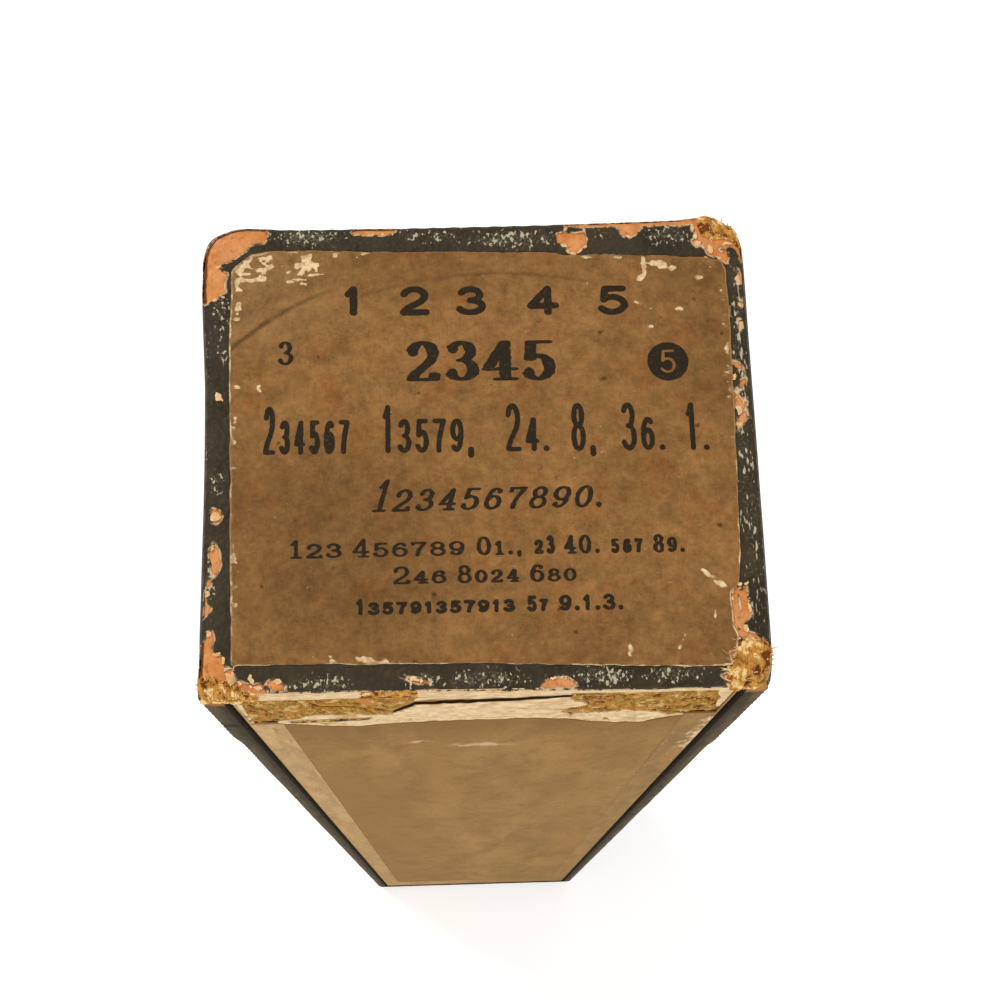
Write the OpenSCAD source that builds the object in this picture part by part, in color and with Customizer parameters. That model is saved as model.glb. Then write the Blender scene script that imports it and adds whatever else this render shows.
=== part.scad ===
// Music roll for a player piano, in a two-piece telescoping box that stands on its far end.
// The label end is up (+Z), the lid comes off towards +Y, and the tray's underside faces -Y.

/* [Box] */
// Outside width of the lid
box_w = 57; // [57:0.5:66]
// Outside depth of the lid, from its top panel to its rim
box_d = 51; // [51:0.5:60]
// Outside length of the lid, with its end papers and label
box_l = 330; // [330:0.5:350]
// Radius of the lid's folded edges
fold_r = 1.3; // [0.8:0.1:1.6]
// Width of the cover paper's tabs that turn onto the ends
tab_w = 9; // [6:0.5:12]
// Depth to which the cover paper turns in over the rim
turn_in = 12; // [6:1:18]

/* [Board and paper] */
// Thickness of the lid's strawboard
lid_board_t = 1.6; // [1.3:0.1:1.6]
// Thickness of the pebbled black cover paper
cover_t = 0.3; // [0.2:0.05:0.3]
// Thickness of the tray's strawboard
tray_board_t = 1.5; // [1.2:0.1:1.5]
// Thickness of the tray's tan paper
tan_t = 0.2; // [0.15:0.05:0.2]
// Thickness of linings, corner stays and the tray's base paper
thin_t = 0.15; // [0.1:0.05:0.15]
// Thickness of the label
label_t = 0.2; // [0.1:0.05:0.2]
// Sliding gap between the lid's lining and the tray
lid_gap = 0.45; // [0.35:0.05:0.6]

/* [Label] */
// Width of the label
label_w = 52; // [40:0.5:52]
// Height of the label
label_h = 44.3; // [30:0.1:44.3]
// Sideways place of the label's middle
label_x = 0.5; // [-0.5:0.1:0.5]
// Place of the label's middle, up from the middle of the end
label_y = -0.35; // [-1:0.05:1]

/* [Wear] */
// Board worn off the lid's corner beside the label's top left, along each edge
board_wear_left = 4.2; // [0.5:0.1:5]
// Board worn off the lid's corner beside the label's top right, along each edge
board_wear_right = 4.4; // [0.5:0.1:5]
// Board worn off the lid's other corners, along each edge
board_wear_rest = 2; // [0.5:0.1:5]
// Cover paper worn off the lid's corner beside the label's top left, along each edge
paper_wear_left = 8; // [1:0.1:10]
// Cover paper worn off the lid's corner beside the label's top right, along each edge
paper_wear_right = 6; // [1:0.1:10]
// Cover paper worn off the lid's corners below the label, along each edge
paper_wear_low = 5; // [1:0.1:10]
// Cover paper worn off the lid's corners at the far end, along each edge
paper_wear_far = 4; // [1:0.1:10]
// Length of the tray's underside that has lost its tan paper, next to the label end
torn_l = 15.8; // [4:0.1:30]

/* [Roll] */
// Width of the perforated paper
paper_w = 285.75; // [280:0.25:286]
// Side play of the paper between the flanges
paper_play = 0.6; // [0.4:0.1:2]
// Outside radius of the paper that is wound on the spool
wound_r = 17.5; // [14:0.1:17.5]
// Diameter of the spool's wooden core
core_d = 22; // [18:0.5:24]
// Diameter of the flanges
flange_d = 44.5; // [42:0.5:44.5]
// Thickness of the flanges
flange_t = 4.8; // [4:0.1:4.8]
// Diameter of the end pins
pin_d = 4.76; // [4:0.01:6]
// Length of each pin outside its flange
pin_out = 12.2; // [8:0.1:12.2]
// Length of each pin inside the wood
pin_in = 25; // [10:1:30]
// Diameter of the pins' shanks inside the wood
shank_d = 3.6; // [3:0.1:3.8]
// Width of the drive pin's blade
blade_w = 9.5; // [6:0.1:10]
// Thickness of the drive pin's blade
blade_t = 2.4; // [1.6:0.1:3]
// Turns of the leader round the wound paper
leader_turns = 1.2; // [1.05:0.05:1.3]
// Outside diameter of the ring on the leader
ring_d = 11.2; // [8:0.1:11.2]
// Wire diameter of the ring
ring_wire = 1.4; // [1:0.1:1.6]

/* [Hidden] */
$fn = 96;

// Half sizes of the lid, and the outer face of the paper under the label
half_w = box_w / 2;
half_d = box_d / 2;
lid_top = box_l - label_t;

// Inner faces of the lid's board
lid_in_x = half_w - cover_t - lid_board_t;
lid_in_y = half_d - cover_t - lid_board_t;
lid_in_low = cover_t + lid_board_t;
lid_in_high = lid_top - cover_t - lid_board_t;
lining_from_rim = 3;
stay_w = 9;
score_gap = 0.05;
stay_from_top = 1.5;

// Outer faces of the tray, which sinks a little inside the lid's rim
tray_x = lid_in_x - thin_t - lid_gap;
tray_sink = 0.3;
tray_low_y = -half_d + tray_sink;
tray_high_y = lid_in_y - thin_t - 0.55;
tray_low = lid_in_low + thin_t + lid_gap;
tray_high = lid_in_high - thin_t - lid_gap;
tray_r = 0.6;
tray_strip_w = 4;
tray_far_turn = 16;
tray_turn_in = 10;
tray_lining_from_rim = 1;

// Inner faces of the tray's board
tray_in_x = tray_x - tan_t - tray_board_t;
tray_in_y = tray_low_y + tan_t + thin_t + tray_board_t;
tray_in_low = tray_low + tan_t + tray_board_t;
tray_in_high = tray_high - tan_t - tray_board_t;

// Places along the roll, from the tip of the idle pin upwards
tip_gap = 0.3;
idle_tip = tray_in_low + thin_t + tip_gap;
idle_face = idle_tip + pin_out;
core_low = idle_face + flange_t;
core_high = core_low + paper_w + paper_play;
drive_face = core_high + flange_t;
paper_low = core_low + paper_play / 2;
paper_high = paper_low + paper_w;
roll_mid = (paper_low + paper_high) / 2;

// Joinery of the spool
spigot_r = 7;
glue_gap = 0.05;
plate_r = 12;
plate_t = 0.8;
brad_count = 3;
brad_ring_r = 9.5;
brad_head_r = 1.2;
brad_head_t = 0.5;
brad_r = 0.6;
brad_l = 3.2;
flange_edge = 0.6;
tape_t = 0.18;
tape_angle = 40;
wound_in_r = core_d / 2 + 0.25;

// Leader: a sheet that spirals out from the wound paper to a tab, with a ring in the tab's loop
leader_t = 0.2;
leader_pitch = 0.45;
leader_start = 62;
leader_out_r = wound_r + 0.35 + leader_turns * leader_pitch + leader_t;
leader_step = 5;
leader_taper = 150;
leader_end_w = 16;
tab_t = 0.25;
tab_end_w = 3;
tab_arc = 24;
loop_in_r = 1.1;
loop_t = 0.3;
pivot_angle = 49;
pivot_r = leader_out_r + tab_t + loop_in_r;
ring_mid_r = (ring_d - ring_wire) / 2;

far = 500;

echo(flange_to_tray_wall = tray_in_x - thin_t - flange_d / 2);
echo(drive_pin_to_tray_end = tray_in_high - thin_t - drive_face - pin_out);
echo(ring_pivot = [pivot_r * cos(pivot_angle), pivot_r * sin(pivot_angle)]);
echo(leader_outside_radius = leader_out_r);

// A block given by its lowest and highest corners
module block(lo, hi) {
    translate(lo) cube(hi - lo);
}

// A rectangle with rounded corners, about its middle
module rounded_rect(size, r) {
    square([size.x - 2 * r, size.y], center = true);
    square([size.x, size.y - 2 * r], center = true);
    for (sx = [-1, 1], sy = [-1, 1])
        translate([sx * (size.x / 2 - r), sy * (size.y / 2 - r)]) circle(r);
}

// A block whose twelve edges are rounded
module soft_block(lo, hi, r) {
    size = hi - lo;
    mid = (lo + hi) / 2;
    intersection() {
        translate([mid.x, mid.y, lo.z])
            linear_extrude(size.z) rounded_rect([size.x, size.y], r);
        translate([mid.x, hi.y, mid.z]) rotate([90, 0, 0])
            linear_extrude(size.y) rounded_rect([size.x, size.z], r);
        translate([lo.x, mid.y, mid.z]) rotate([90, 0, 90])
            linear_extrude(size.x) rounded_rect([size.y, size.z], r);
    }
}

// Everything with y from y0 to y1
module between_y(y0, y1) {
    block([-far, y0, -far], [far, y1, far]);
}

// Everything with z from z0 to z1
module between_z(z0, z1) {
    block([-far, -far, z0], [far, far, z1]);
}

// The piece that a flat cut takes off one corner of the lid
module corner_off(sx, sy, sz, leg) {
    reach = 3 * leg;
    translate([sx * half_w, sy * half_d, sz > 0 ? lid_top : 0])
        rotate([0, acos(sz / sqrt(3)), atan2(sy, sx)])
            translate([-reach, -reach, -leg / sqrt(3)])
                cube([2 * reach, 2 * reach, reach]);
}

// The four upright columns where two walls of the lid or tray meet
module wall_corners(x, low, high, leg) {
    for (sx = [-1, 1]) {
        inner = sx * (x - leg);
        outer = sx * far;
        block([min(inner, outer), -far, -far], [max(inner, outer), far, low + leg]);
        block([min(inner, outer), -far, high - leg], [max(inner, outer), far, far]);
    }
}

// Lid

module lid_outside() {
    soft_block([-half_w, -half_d - fold_r * 4, 0], [half_w, half_d, lid_top], fold_r);
}

module lid_core(inset = 0) {
    skin = cover_t + inset;
    soft_block([-half_w + skin, -half_d - fold_r * 4, cover_t + skin],
        [half_w - skin, half_d - skin, lid_top - cover_t - skin], fold_r - skin);
}

module lid_cavity(grow = 0) {
    block([-lid_in_x - grow, -far, lid_in_low - grow],
        [lid_in_x + grow, lid_in_y + grow, lid_in_high + grow]);
}

// The part of each end that the cover paper's tabs leave free
module end_windows() {
    x = half_w - tab_w;
    block([-x, -far, cover_t], [x, half_d - tab_w, 2 * cover_t]);
    block([-x, -far, lid_top - 2 * cover_t], [x, half_d - tab_w, lid_top - cover_t]);
}

module lid_rim_turn() {
    intersection() {
        difference() {
            lid_core();
            lid_cavity();
        }
        between_y(-half_d, -half_d + cover_t);
    }
    intersection() {
        difference() {
            lid_cavity(cover_t);
            lid_cavity();
        }
        between_y(-half_d, -half_d + turn_in);
    }
}

module lid_stay_solid() {
    intersection() {
        difference() {
            lid_core();
            lid_core(thin_t);
        }
        between_y(-half_d + cover_t, half_d - stay_from_top);
        wall_corners(half_w - cover_t, 2 * cover_t, lid_top - 2 * cover_t, stay_w - cover_t);
    }
}

// The cuts that part a shell's board into a floor, two sides and two ends, where it is scored
module score_cuts(floor_y, side, low, high) {
    block([-far, min(floor_y, floor_y + side * score_gap), -far],
        [far, max(floor_y, floor_y + side * score_gap), far]);
    open_y = floor_y - side * far;
    for (z = [low - score_gap, high])
        block([-far, min(floor_y, open_y), z], [far, max(floor_y, open_y), z + score_gap]);
}

module board_wear() {
    corner_off(-1, 1, 1, board_wear_left);
    corner_off(1, 1, 1, board_wear_right);
    for (sx = [-1, 1]) {
        corner_off(sx, -1, 1, board_wear_rest);
        corner_off(sx, 1, -1, board_wear_rest);
        corner_off(sx, -1, -1, board_wear_rest);
    }
}

module paper_wear() {
    corner_off(-1, 1, 1, paper_wear_left);
    corner_off(1, 1, 1, paper_wear_right);
    for (sx = [-1, 1]) {
        corner_off(sx, -1, 1, paper_wear_low);
        corner_off(sx, 1, -1, paper_wear_far);
        corner_off(sx, -1, -1, paper_wear_far);
    }
}

module lid_board() {
    color("tan") difference() {
        union() {
            lid_core();
            end_windows();
        }
        between_y(-far, -half_d + cover_t);
        lid_cavity();
        lid_rim_turn();
        lid_stay_solid();
        score_cuts(lid_in_y, 1, lid_in_low, lid_in_high);
        board_wear();
    }
}

module lid_wrap() {
    color("#37322a") difference() {
        union() {
            difference() {
                lid_outside();
                lid_core();
                between_z(-far, cover_t);
                between_z(lid_top - cover_t, far);
                end_windows();
            }
            lid_rim_turn();
        }
        between_y(-far, -half_d);
        paper_wear();
    }
}

// A sheet of cover paper over one whole end of the lid
module end_sheet(low, high) {
    difference() {
        intersection() {
            lid_outside();
            between_z(low, high);
            between_y(-half_d, half_d);
        }
        paper_wear();
    }
}

module label_end_paper() {
    color("#37322a") end_sheet(lid_top - cover_t, lid_top);
}

module far_end_paper() {
    color("#37322a") end_sheet(0, cover_t);
}

module end_label() {
    color("#8c6941") difference() {
        translate([label_x, label_y, lid_top])
            linear_extrude(label_t) square([label_w, label_h], center = true);
        paper_wear();
    }
}

module lid_lining() {
    color("#ded2b4") difference() {
        lid_cavity();
        lid_cavity(-thin_t);
        between_y(-far, -half_d + lining_from_rim);
    }
}

module lid_corner_stays() {
    color("#c9a877") difference() {
        lid_stay_solid();
        paper_wear();
    }
}

// Tray

module tray_outside() {
    soft_block([-tray_x, tray_low_y, tray_low], [tray_x, tray_high_y, tray_high], tray_r);
}

module tray_core(inset = 0) {
    skin = tan_t + inset;
    soft_block([-tray_x + skin, tray_low_y + tan_t, tray_low + skin],
        [tray_x - skin, tray_high_y - tan_t, tray_high - skin], tray_r - skin);
}

module tray_cavity(grow = 0) {
    block([-tray_in_x - grow, tray_in_y - grow, tray_in_low - grow],
        [tray_in_x + grow, far, tray_in_high + grow]);
}

// The part of the underside that the turned-over edges leave free
module tray_window() {
    x = tray_x - tray_strip_w;
    torn_x = tray_x - tray_r;
    block([-x, -far, tray_low + tray_far_turn], [x, tray_low_y + tan_t, far]);
    block([-torn_x, -far, tray_high - torn_l], [torn_x, tray_low_y + tan_t, far]);
}

module tray_rim_turn() {
    intersection() {
        difference() {
            tray_cavity(tan_t);
            tray_cavity();
        }
        between_y(tray_high_y - tray_turn_in, tray_high_y);
    }
}

module tray_stay_solid() {
    intersection() {
        difference() {
            tray_core();
            tray_core(thin_t);
        }
        between_y(tray_low_y + 1, tray_high_y - 1);
        wall_corners(tray_x, tray_low, tray_high, stay_w);
    }
}

module tray_board() {
    color("#c09a5c") difference() {
        tray_core();
        between_y(-far, tray_low_y + tan_t + thin_t);
        tray_cavity();
        tray_rim_turn();
        tray_stay_solid();
        score_cuts(tray_in_y, -1, tray_in_low, tray_in_high);
    }
}

module tray_side_wrap() {
    color("#a78659") {
        difference() {
            tray_outside();
            tray_core();
            tray_cavity();
            tray_window();
        }
        tray_rim_turn();
    }
}

// Pasted under the tan paper, and torn away to the sides at the label end
module tray_base_paper() {
    torn = tray_high - torn_l;
    bare_x = 15;
    color("#e1c8a0") difference() {
        intersection() {
            tray_core();
            between_y(tray_low_y + tan_t, tray_low_y + tan_t + thin_t);
        }
        block([bare_x, -far, torn + 3], [far, far, far]);
        block([-far, -far, torn + 3], [-bare_x, far, far]);
    }
}

module tray_bottom_paper() {
    x = tray_x - tray_strip_w;
    color("#9f7e50") block([-x, tray_low_y, tray_low + tray_far_turn],
        [x, tray_low_y + tan_t, tray_high - torn_l]);
}

module tray_lining() {
    color("#ded2b4") difference() {
        tray_cavity();
        tray_cavity(-thin_t);
        between_y(tray_high_y - tray_lining_from_rim, far * 2);
    }
}

module tray_corner_stays() {
    color("#c9a877") tray_stay_solid();
}

// Spool: the idle end is down and the drive end is up

module spool_core() {
    color("#c89b62") difference() {
        union() {
            translate([0, 0, core_low]) cylinder(d = core_d, h = core_high - core_low);
            translate([0, 0, idle_face + plate_t])
                cylinder(r = spigot_r, h = drive_face - idle_face - 2 * plate_t);
        }
        translate([0, 0, idle_face]) cylinder(d = shank_d + 2 * glue_gap, h = pin_in);
        translate([0, 0, drive_face - pin_in]) cylinder(d = shank_d + 2 * glue_gap, h = pin_in);
    }
}

// A flange with its outer face at z = 0 and its wood above it
module flange() {
    difference() {
        rotate_extrude() polygon([
            [spigot_r + glue_gap, 0],
            [flange_d / 2 - flange_edge, 0],
            [flange_d / 2, flange_edge],
            [flange_d / 2, flange_t - flange_edge],
            [flange_d / 2 - flange_edge, flange_t],
            [spigot_r + glue_gap, flange_t]]);
        translate([0, 0, -1]) cylinder(r = plate_r + glue_gap, h = 1 + plate_t);
        brad_places() cylinder(r = brad_r + glue_gap, h = plate_t + brad_l);
    }
}

module brad_places() {
    for (i = [0 : brad_count - 1])
        rotate([0, 0, 90 + i * 360 / brad_count]) translate([brad_ring_r, 0, 0]) children();
}

// The steel plate that lies flush in the flange's outer face
module pin_plate() {
    difference() {
        cylinder(r = plate_r, h = plate_t);
        translate([0, 0, -1]) cylinder(d = shank_d + 2 * glue_gap, h = plate_t + 2);
        brad_places() translate([0, 0, -1]) cylinder(r = brad_r + glue_gap, h = plate_t + 2);
    }
}

module brads() {
    brad_places() {
        translate([0, 0, -brad_head_t]) cylinder(r = brad_head_r, h = brad_head_t);
        cylinder(r = brad_r, h = plate_t + brad_l);
    }
}

module at_idle_end() {
    translate([0, 0, idle_face]) children();
}

module at_drive_end() {
    translate([0, 0, drive_face]) mirror([0, 0, 1]) children();
}

module drive_flange() {
    color("#8a5a33") at_drive_end() flange();
}

module idle_flange() {
    color("#8a5a33") at_idle_end() flange();
}

module drive_pin_plate() {
    color("#8e8a80") at_drive_end() pin_plate();
}

module idle_pin_plate() {
    color("#8e8a80") at_idle_end() pin_plate();
}

module drive_end_brads() {
    color("#a8894e") at_drive_end() brads();
}

module idle_end_brads() {
    color("#a8894e") at_idle_end() brads();
}

module idle_pin() {
    color("#9a978f") {
        translate([0, 0, idle_tip]) cylinder(d = pin_d, h = pin_out);
        translate([0, 0, idle_face]) cylinder(d = shank_d, h = pin_in);
    }
}

// Round inside the wood, with a flat blade outside that the drive chuck turns
module drive_pin() {
    color("#9a978f") {
        translate([0, 0, drive_face - pin_in]) cylinder(d = shank_d, h = pin_in);
        intersection() {
            translate([0, 0, drive_face]) cylinder(d = blade_w, h = pin_out);
            block([-far, -blade_t / 2, 0], [far, blade_t / 2, far]);
        }
    }
}

module wound_paper() {
    color("#d8c39a") translate([0, 0, paper_low]) difference() {
        cylinder(r = wound_r, h = paper_w);
        translate([0, 0, -1]) cylinder(r = wound_in_r, h = paper_w + 2);
    }
}

// Holds the paper's inner end on the core
module anchor_tape() {
    color("#b9a57c") translate([0, 0, paper_low]) intersection() {
        difference() {
            cylinder(r = core_d / 2 + tape_t, h = paper_w);
            translate([0, 0, -1]) cylinder(d = core_d, h = paper_w + 2);
        }
        linear_extrude(paper_w) polygon([
            [0, 0],
            [core_d, -core_d * tan(tape_angle / 2)],
            [core_d, core_d * tan(tape_angle / 2)]]);
    }
}

// Leader

leader_count = floor(leader_turns * 360 / leader_step);

// Half width of the leader at so many degrees from its free end
function leader_half(a) = a >= leader_taper
    ? paper_w / 2
    : leader_end_w / 2 + (paper_w - leader_end_w) / 2 * pow(a / leader_taper, 1.4);

// Outer radius of the leader at so many degrees from its free end
function leader_r(a) = leader_out_r - leader_t - leader_pitch * a / 360;

// The four corners of the sheet's section at so many degrees from its free end
function leader_ring(a) = [
    for (p = [[0, -1], [leader_t, -1], [leader_t, 1], [0, 1]])
        [(leader_r(a) + p[0]) * cos(leader_start + a),
         (leader_r(a) + p[0]) * sin(leader_start + a),
         roll_mid + p[1] * leader_half(a)]];

module leader_sheet() {
    points = [for (i = [0 : leader_count]) each leader_ring(i * leader_step)];
    sides = [
        for (i = [0 : leader_count - 1], k = [0 : 3])
            each [[4 * i + k, 4 * i + (k + 1) % 4, 4 * i + 4 + k],
                [4 * i + (k + 1) % 4, 4 * i + 4 + (k + 1) % 4, 4 * i + 4 + k]]];
    last = 4 * leader_count;
    ends = [[0, 2, 1], [0, 3, 2], [last, last + 1, last + 2], [last, last + 2, last + 3]];
    color("#d3bd93") polyhedron(points = points, faces = concat(sides, ends));
}

// A tapering patch on the leader's free end, whose tip loops round the ring
module leader_tab() {
    pivot = [pivot_r * cos(pivot_angle), pivot_r * sin(pivot_angle)];
    patch_end = leader_start + tab_arc;
    color("#7b6242") intersection() {
        translate([0, 0, roll_mid - leader_end_w / 2]) linear_extrude(leader_end_w) {
            difference() {
                circle(leader_out_r + tab_t);
                circle(leader_out_r);
                polygon([[0, 0], far * [cos(patch_end), sin(patch_end)], [-far, far],
                    [-far, -far], [far, -far], far * [cos(pivot_angle), sin(pivot_angle)]]);
            }
            difference() {
                translate(pivot) circle(loop_in_r + loop_t);
                translate(pivot) circle(loop_in_r);
                circle(leader_out_r);
            }
        }
        rotate([0, 0, pivot_angle]) rotate([90, 0, 90]) linear_extrude(far) polygon([
            [-far, roll_mid - tab_end_w / 2],
            [loop_in_r * 2, roll_mid - tab_end_w / 2],
            [loop_in_r * 2 + leader_end_w / 2, roll_mid - leader_end_w / 2],
            [far, roll_mid - leader_end_w / 2],
            [far, roll_mid + leader_end_w / 2],
            [loop_in_r * 2 + leader_end_w / 2, roll_mid + leader_end_w / 2],
            [loop_in_r * 2, roll_mid + tab_end_w / 2],
            [-far, roll_mid + tab_end_w / 2]]);
    }
}

module tab_ring() {
    color("#b08d4a") rotate([0, 0, pivot_angle]) translate([pivot_r, -ring_mid_r, roll_mid])
        rotate([0, 90, 0]) rotate_extrude() translate([ring_mid_r, 0]) circle(d = ring_wire);
}

tray_board();
tray_side_wrap();
tray_base_paper();
tray_bottom_paper();
tray_lining();
tray_corner_stays();
leader_sheet();
leader_tab();
tab_ring();
spool_core();
drive_flange();
idle_flange();
drive_pin();
idle_pin();
drive_pin_plate();
idle_pin_plate();
drive_end_brads();
idle_end_brads();
wound_paper();
anchor_tape();
lid_board();
lid_wrap();
label_end_paper();
far_end_paper();
end_label();
lid_lining();
lid_corner_stays();
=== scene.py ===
"""Dresses a boxed piano music roll: the worn two-piece box, its printed end label and the roll inside.

Lengths in the mesh code are millimetres in the part's own frame, and become metres when a piece is made.
"""

import math

import bpy
import numpy as np
from bpy.props import FloatProperty, FloatVectorProperty, PointerProperty
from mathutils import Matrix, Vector
from mathutils.geometry import delaunay_2d_cdt


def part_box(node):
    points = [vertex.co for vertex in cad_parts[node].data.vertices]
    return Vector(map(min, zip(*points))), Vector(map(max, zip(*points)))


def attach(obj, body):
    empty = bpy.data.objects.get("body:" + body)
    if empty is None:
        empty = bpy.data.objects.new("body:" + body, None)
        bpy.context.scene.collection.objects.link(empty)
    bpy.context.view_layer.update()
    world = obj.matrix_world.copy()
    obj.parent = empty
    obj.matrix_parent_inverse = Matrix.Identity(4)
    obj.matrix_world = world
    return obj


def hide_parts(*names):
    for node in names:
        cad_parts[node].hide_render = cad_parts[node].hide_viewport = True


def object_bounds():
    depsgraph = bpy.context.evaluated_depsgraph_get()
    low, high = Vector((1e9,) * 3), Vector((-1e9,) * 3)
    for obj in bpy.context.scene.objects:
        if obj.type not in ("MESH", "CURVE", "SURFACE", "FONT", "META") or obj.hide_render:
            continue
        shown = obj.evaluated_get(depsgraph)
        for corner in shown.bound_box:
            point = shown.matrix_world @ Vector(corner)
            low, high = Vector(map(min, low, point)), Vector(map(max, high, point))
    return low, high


bl_info = {
    "name": "Boxed Music Roll",
    "version": (1, 0, 0),
    "blender": (4, 5, 0),
    "location": "View3D > Sidebar > Music Roll",
    "description": "Dresses a packed music roll and its worn telescoping box",
    "category": "Object",
}

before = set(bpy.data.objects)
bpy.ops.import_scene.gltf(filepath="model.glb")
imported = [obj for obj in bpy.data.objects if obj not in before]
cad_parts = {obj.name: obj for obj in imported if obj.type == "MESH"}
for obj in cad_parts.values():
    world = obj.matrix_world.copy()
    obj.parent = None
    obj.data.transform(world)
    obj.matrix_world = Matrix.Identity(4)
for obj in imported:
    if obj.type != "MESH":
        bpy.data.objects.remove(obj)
CAD_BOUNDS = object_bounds()
MM = 0.001
CAD_LOW, CAD_HIGH = (np.array(corner) / MM for corner in CAD_BOUNDS)


def node_box(node):
    """Lowest and highest corner of a CAD node, in millimetres."""
    low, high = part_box(node)
    return np.array(low) / MM, np.array(high) / MM


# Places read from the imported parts, in millimetres
LABEL_LOW, LABEL_HIGH = node_box("end_label")
LINING_LOW, LINING_HIGH = node_box("lid_lining")
TRAY_LOW, TRAY_HIGH = node_box("tray_side_wrap")
PANEL_LOW, PANEL_HIGH = node_box("tray_bottom_paper")
LEADER_LOW, LEADER_HIGH = node_box("leader_sheet")

# The lid: half its width and depth, its label end, and the insides of its walls
HALF_W, HALF_D = node_box("lid_wrap")[1][:2]
TOP = node_box("label_end_paper")[1][2]
WALL_X = LINING_HIGH[0]
WALL_LOW, WALL_HIGH = LINING_LOW[2], LINING_HIGH[2]

# The tray: its underside, the face of its board there, its end, and the end of its tan panel
UNDER = TRAY_LOW[1]
BOARD_FACE = node_box("tray_base_paper")[1][1]
TRAY_END = TRAY_HIGH[2]
TORN = PANEL_HIGH[2]


def linear(red, green, blue):
    """A colour given as 0 to 255, in the linear values that shaders use."""
    shares = [value / 255 for value in (red, green, blue)]
    return [s / 12.92 if s <= 0.04045 else ((s + 0.055) / 1.055) ** 2.4 for s in shares]


def colour(name, about, *values):
    """A colour property with its default given as 0 to 255."""
    return FloatVectorProperty(
        name=name, description=about, subtype="COLOR", size=3, min=0, max=1, default=linear(*values)
    )


def length(name, about, value):
    """A length property with its default given in millimetres."""
    return FloatProperty(name=name, description=about, unit="LENGTH", min=0, default=value * MM)


class RollSizes(bpy.types.PropertyGroup):
    """Thicknesses and wear of the box's papers."""

    fold: length("Fold radius", "Radius of the lid's folded edges", 1.3)
    rim: length("Rim radius", "Radius of the lid's soft rim", 0.5)
    skin: length("Cover thickness", "Thickness of the whole cover paper", 0.29)
    coat: length("Coat thickness", "Thickness of the cover paper's black pebbled face", 0.1)
    ragged: length("Ragged edges", "How far torn edges wander", 0.22)
    crumple: length("Crumple", "How far the cover paper sinks between its high spots", 0.1)
    label_core: length("Label core", "Thickness of the label's pale body", 0.1)
    label_face: length("Label face", "Thickness of the label's brown face", 0.06)
    ink: length("Ink", "Height of the printed ink", 0.03)


class RollColours(bpy.types.PropertyGroup):
    """Colours of the box, its label and the roll."""

    label: colour("Label", "Aged brown face of the label", 139, 99, 55)
    label_dark: colour("Label stains", "Darkest stains on the label", 88, 62, 32)
    ink: colour("Ink", "Printed numerals", 40, 32, 20)
    coat: colour("Coat", "Black pebbled face of the cover paper", 53, 45, 31)
    rubbed: colour("Rubbed coat", "High spots of the pebble where the black is rubbed off", 176, 168, 142)
    cover: colour("Cover body", "Orange body of the cover paper under its coat", 214, 144, 82)
    board: colour("Strawboard", "Yellow board of the lid and the tray", 178, 132, 60)
    cream: colour("Cream paper", "Torn and lining papers", 232, 208, 168)
    tan: colour("Tan paper", "Paper over the tray", 151, 115, 64)
    strip: colour("Turned edges", "Paler turned-over edges of the tan paper", 170, 136, 90)
    rim: colour("Rim", "Worn grey-brown paper on the lid's rim", 92, 79, 54)
    manila: colour("Leader", "Aged leader and roll paper", 208, 184, 140)
    maple: colour("Core wood", "Pale wood of the spool's core", 200, 152, 96)
    stain: colour("Flange wood", "Stained wood of the flanges", 118, 70, 38)


def size_mm(name):
    """One of the sizes that a user can change, in millimetres."""
    return getattr(bpy.context.scene.roll_sizes, name) / MM


# Repeatable noise


def cell_value(ix, iy, iz, seed):
    """A repeatable value from 0 to 1 for each whole-numbered cell."""
    mixed = (ix * 73856093) ^ (iy * 19349663) ^ (iz * 83492791) ^ (seed * 2654435761)
    mixed = mixed & 0xFFFFFFFF
    mixed = ((mixed ^ (mixed >> 15)) * 2246822519) & 0xFFFFFFFF
    mixed = ((mixed ^ (mixed >> 13)) * 3266489917) & 0xFFFFFFFF
    return ((mixed ^ (mixed >> 16)) & 0xFFFFFF) / 0xFFFFFF


def noise(points, size, seed):
    """Smooth noise from -1 to 1 at points, with features of a size in mm, which may differ by axis."""
    scaled = points / np.asarray(size, float)
    cell = np.floor(scaled).astype(np.int64)
    part = scaled - cell
    part = part * part * (3 - 2 * part)
    total = np.zeros(len(points))
    for corner in range(8):
        step = np.array([corner & 1, corner >> 1 & 1, corner >> 2 & 1])
        weight = np.prod(np.where(step == 1, part, 1 - part), axis=1)
        ix, iy, iz = (cell + step).T
        total += weight * cell_value(ix, iy, iz, seed)
    return 2 * total - 1


def rough(points, size, seed, octaves=3):
    """Noise in several sizes, each half of the last, from about -1 to 1."""
    size = np.asarray(size, float)
    layers = [noise(points, size / 2**k, seed + 17 * k) / 2**k for k in range(octaves)]
    return sum(layers) / (2 - 2 ** (1 - octaves))


def rough_at(x, y, z, size, seed, octaves=3):
    """The same noise at places given by separate coordinates, in lists or grids."""
    points = np.stack(np.broadcast_arrays(x, y, z), axis=-1)
    return rough(points.reshape(-1, 3), size, seed, octaves).reshape(points.shape[:-1])


# Outlines as fields: millimetres in from the edge, negative outside

# How far outside a shape its field goes on falling
REACH = 2.5
# The field of a place that no edge is near
WELL_IN = 9.0


def inside_outline(points, x, y):
    """Distance in from a closed outline."""
    best = np.full(x.shape, np.inf)
    within = np.zeros(x.shape, bool)
    for (ax, ay), (bx, by) in zip(points, points[1:] + points[:1]):
        ex, ey = bx - ax, by - ay
        share = np.clip(((x - ax) * ex + (y - ay) * ey) / (ex * ex + ey * ey), 0, 1)
        best = np.minimum(best, np.hypot(x - ax - share * ex, y - ay - share * ey))
        if ay != by:
            within ^= ((ay > y) != (by > y)) & (x < ax + (y - ay) / ey * ex)
    return np.where(within, best, -best)


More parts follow.
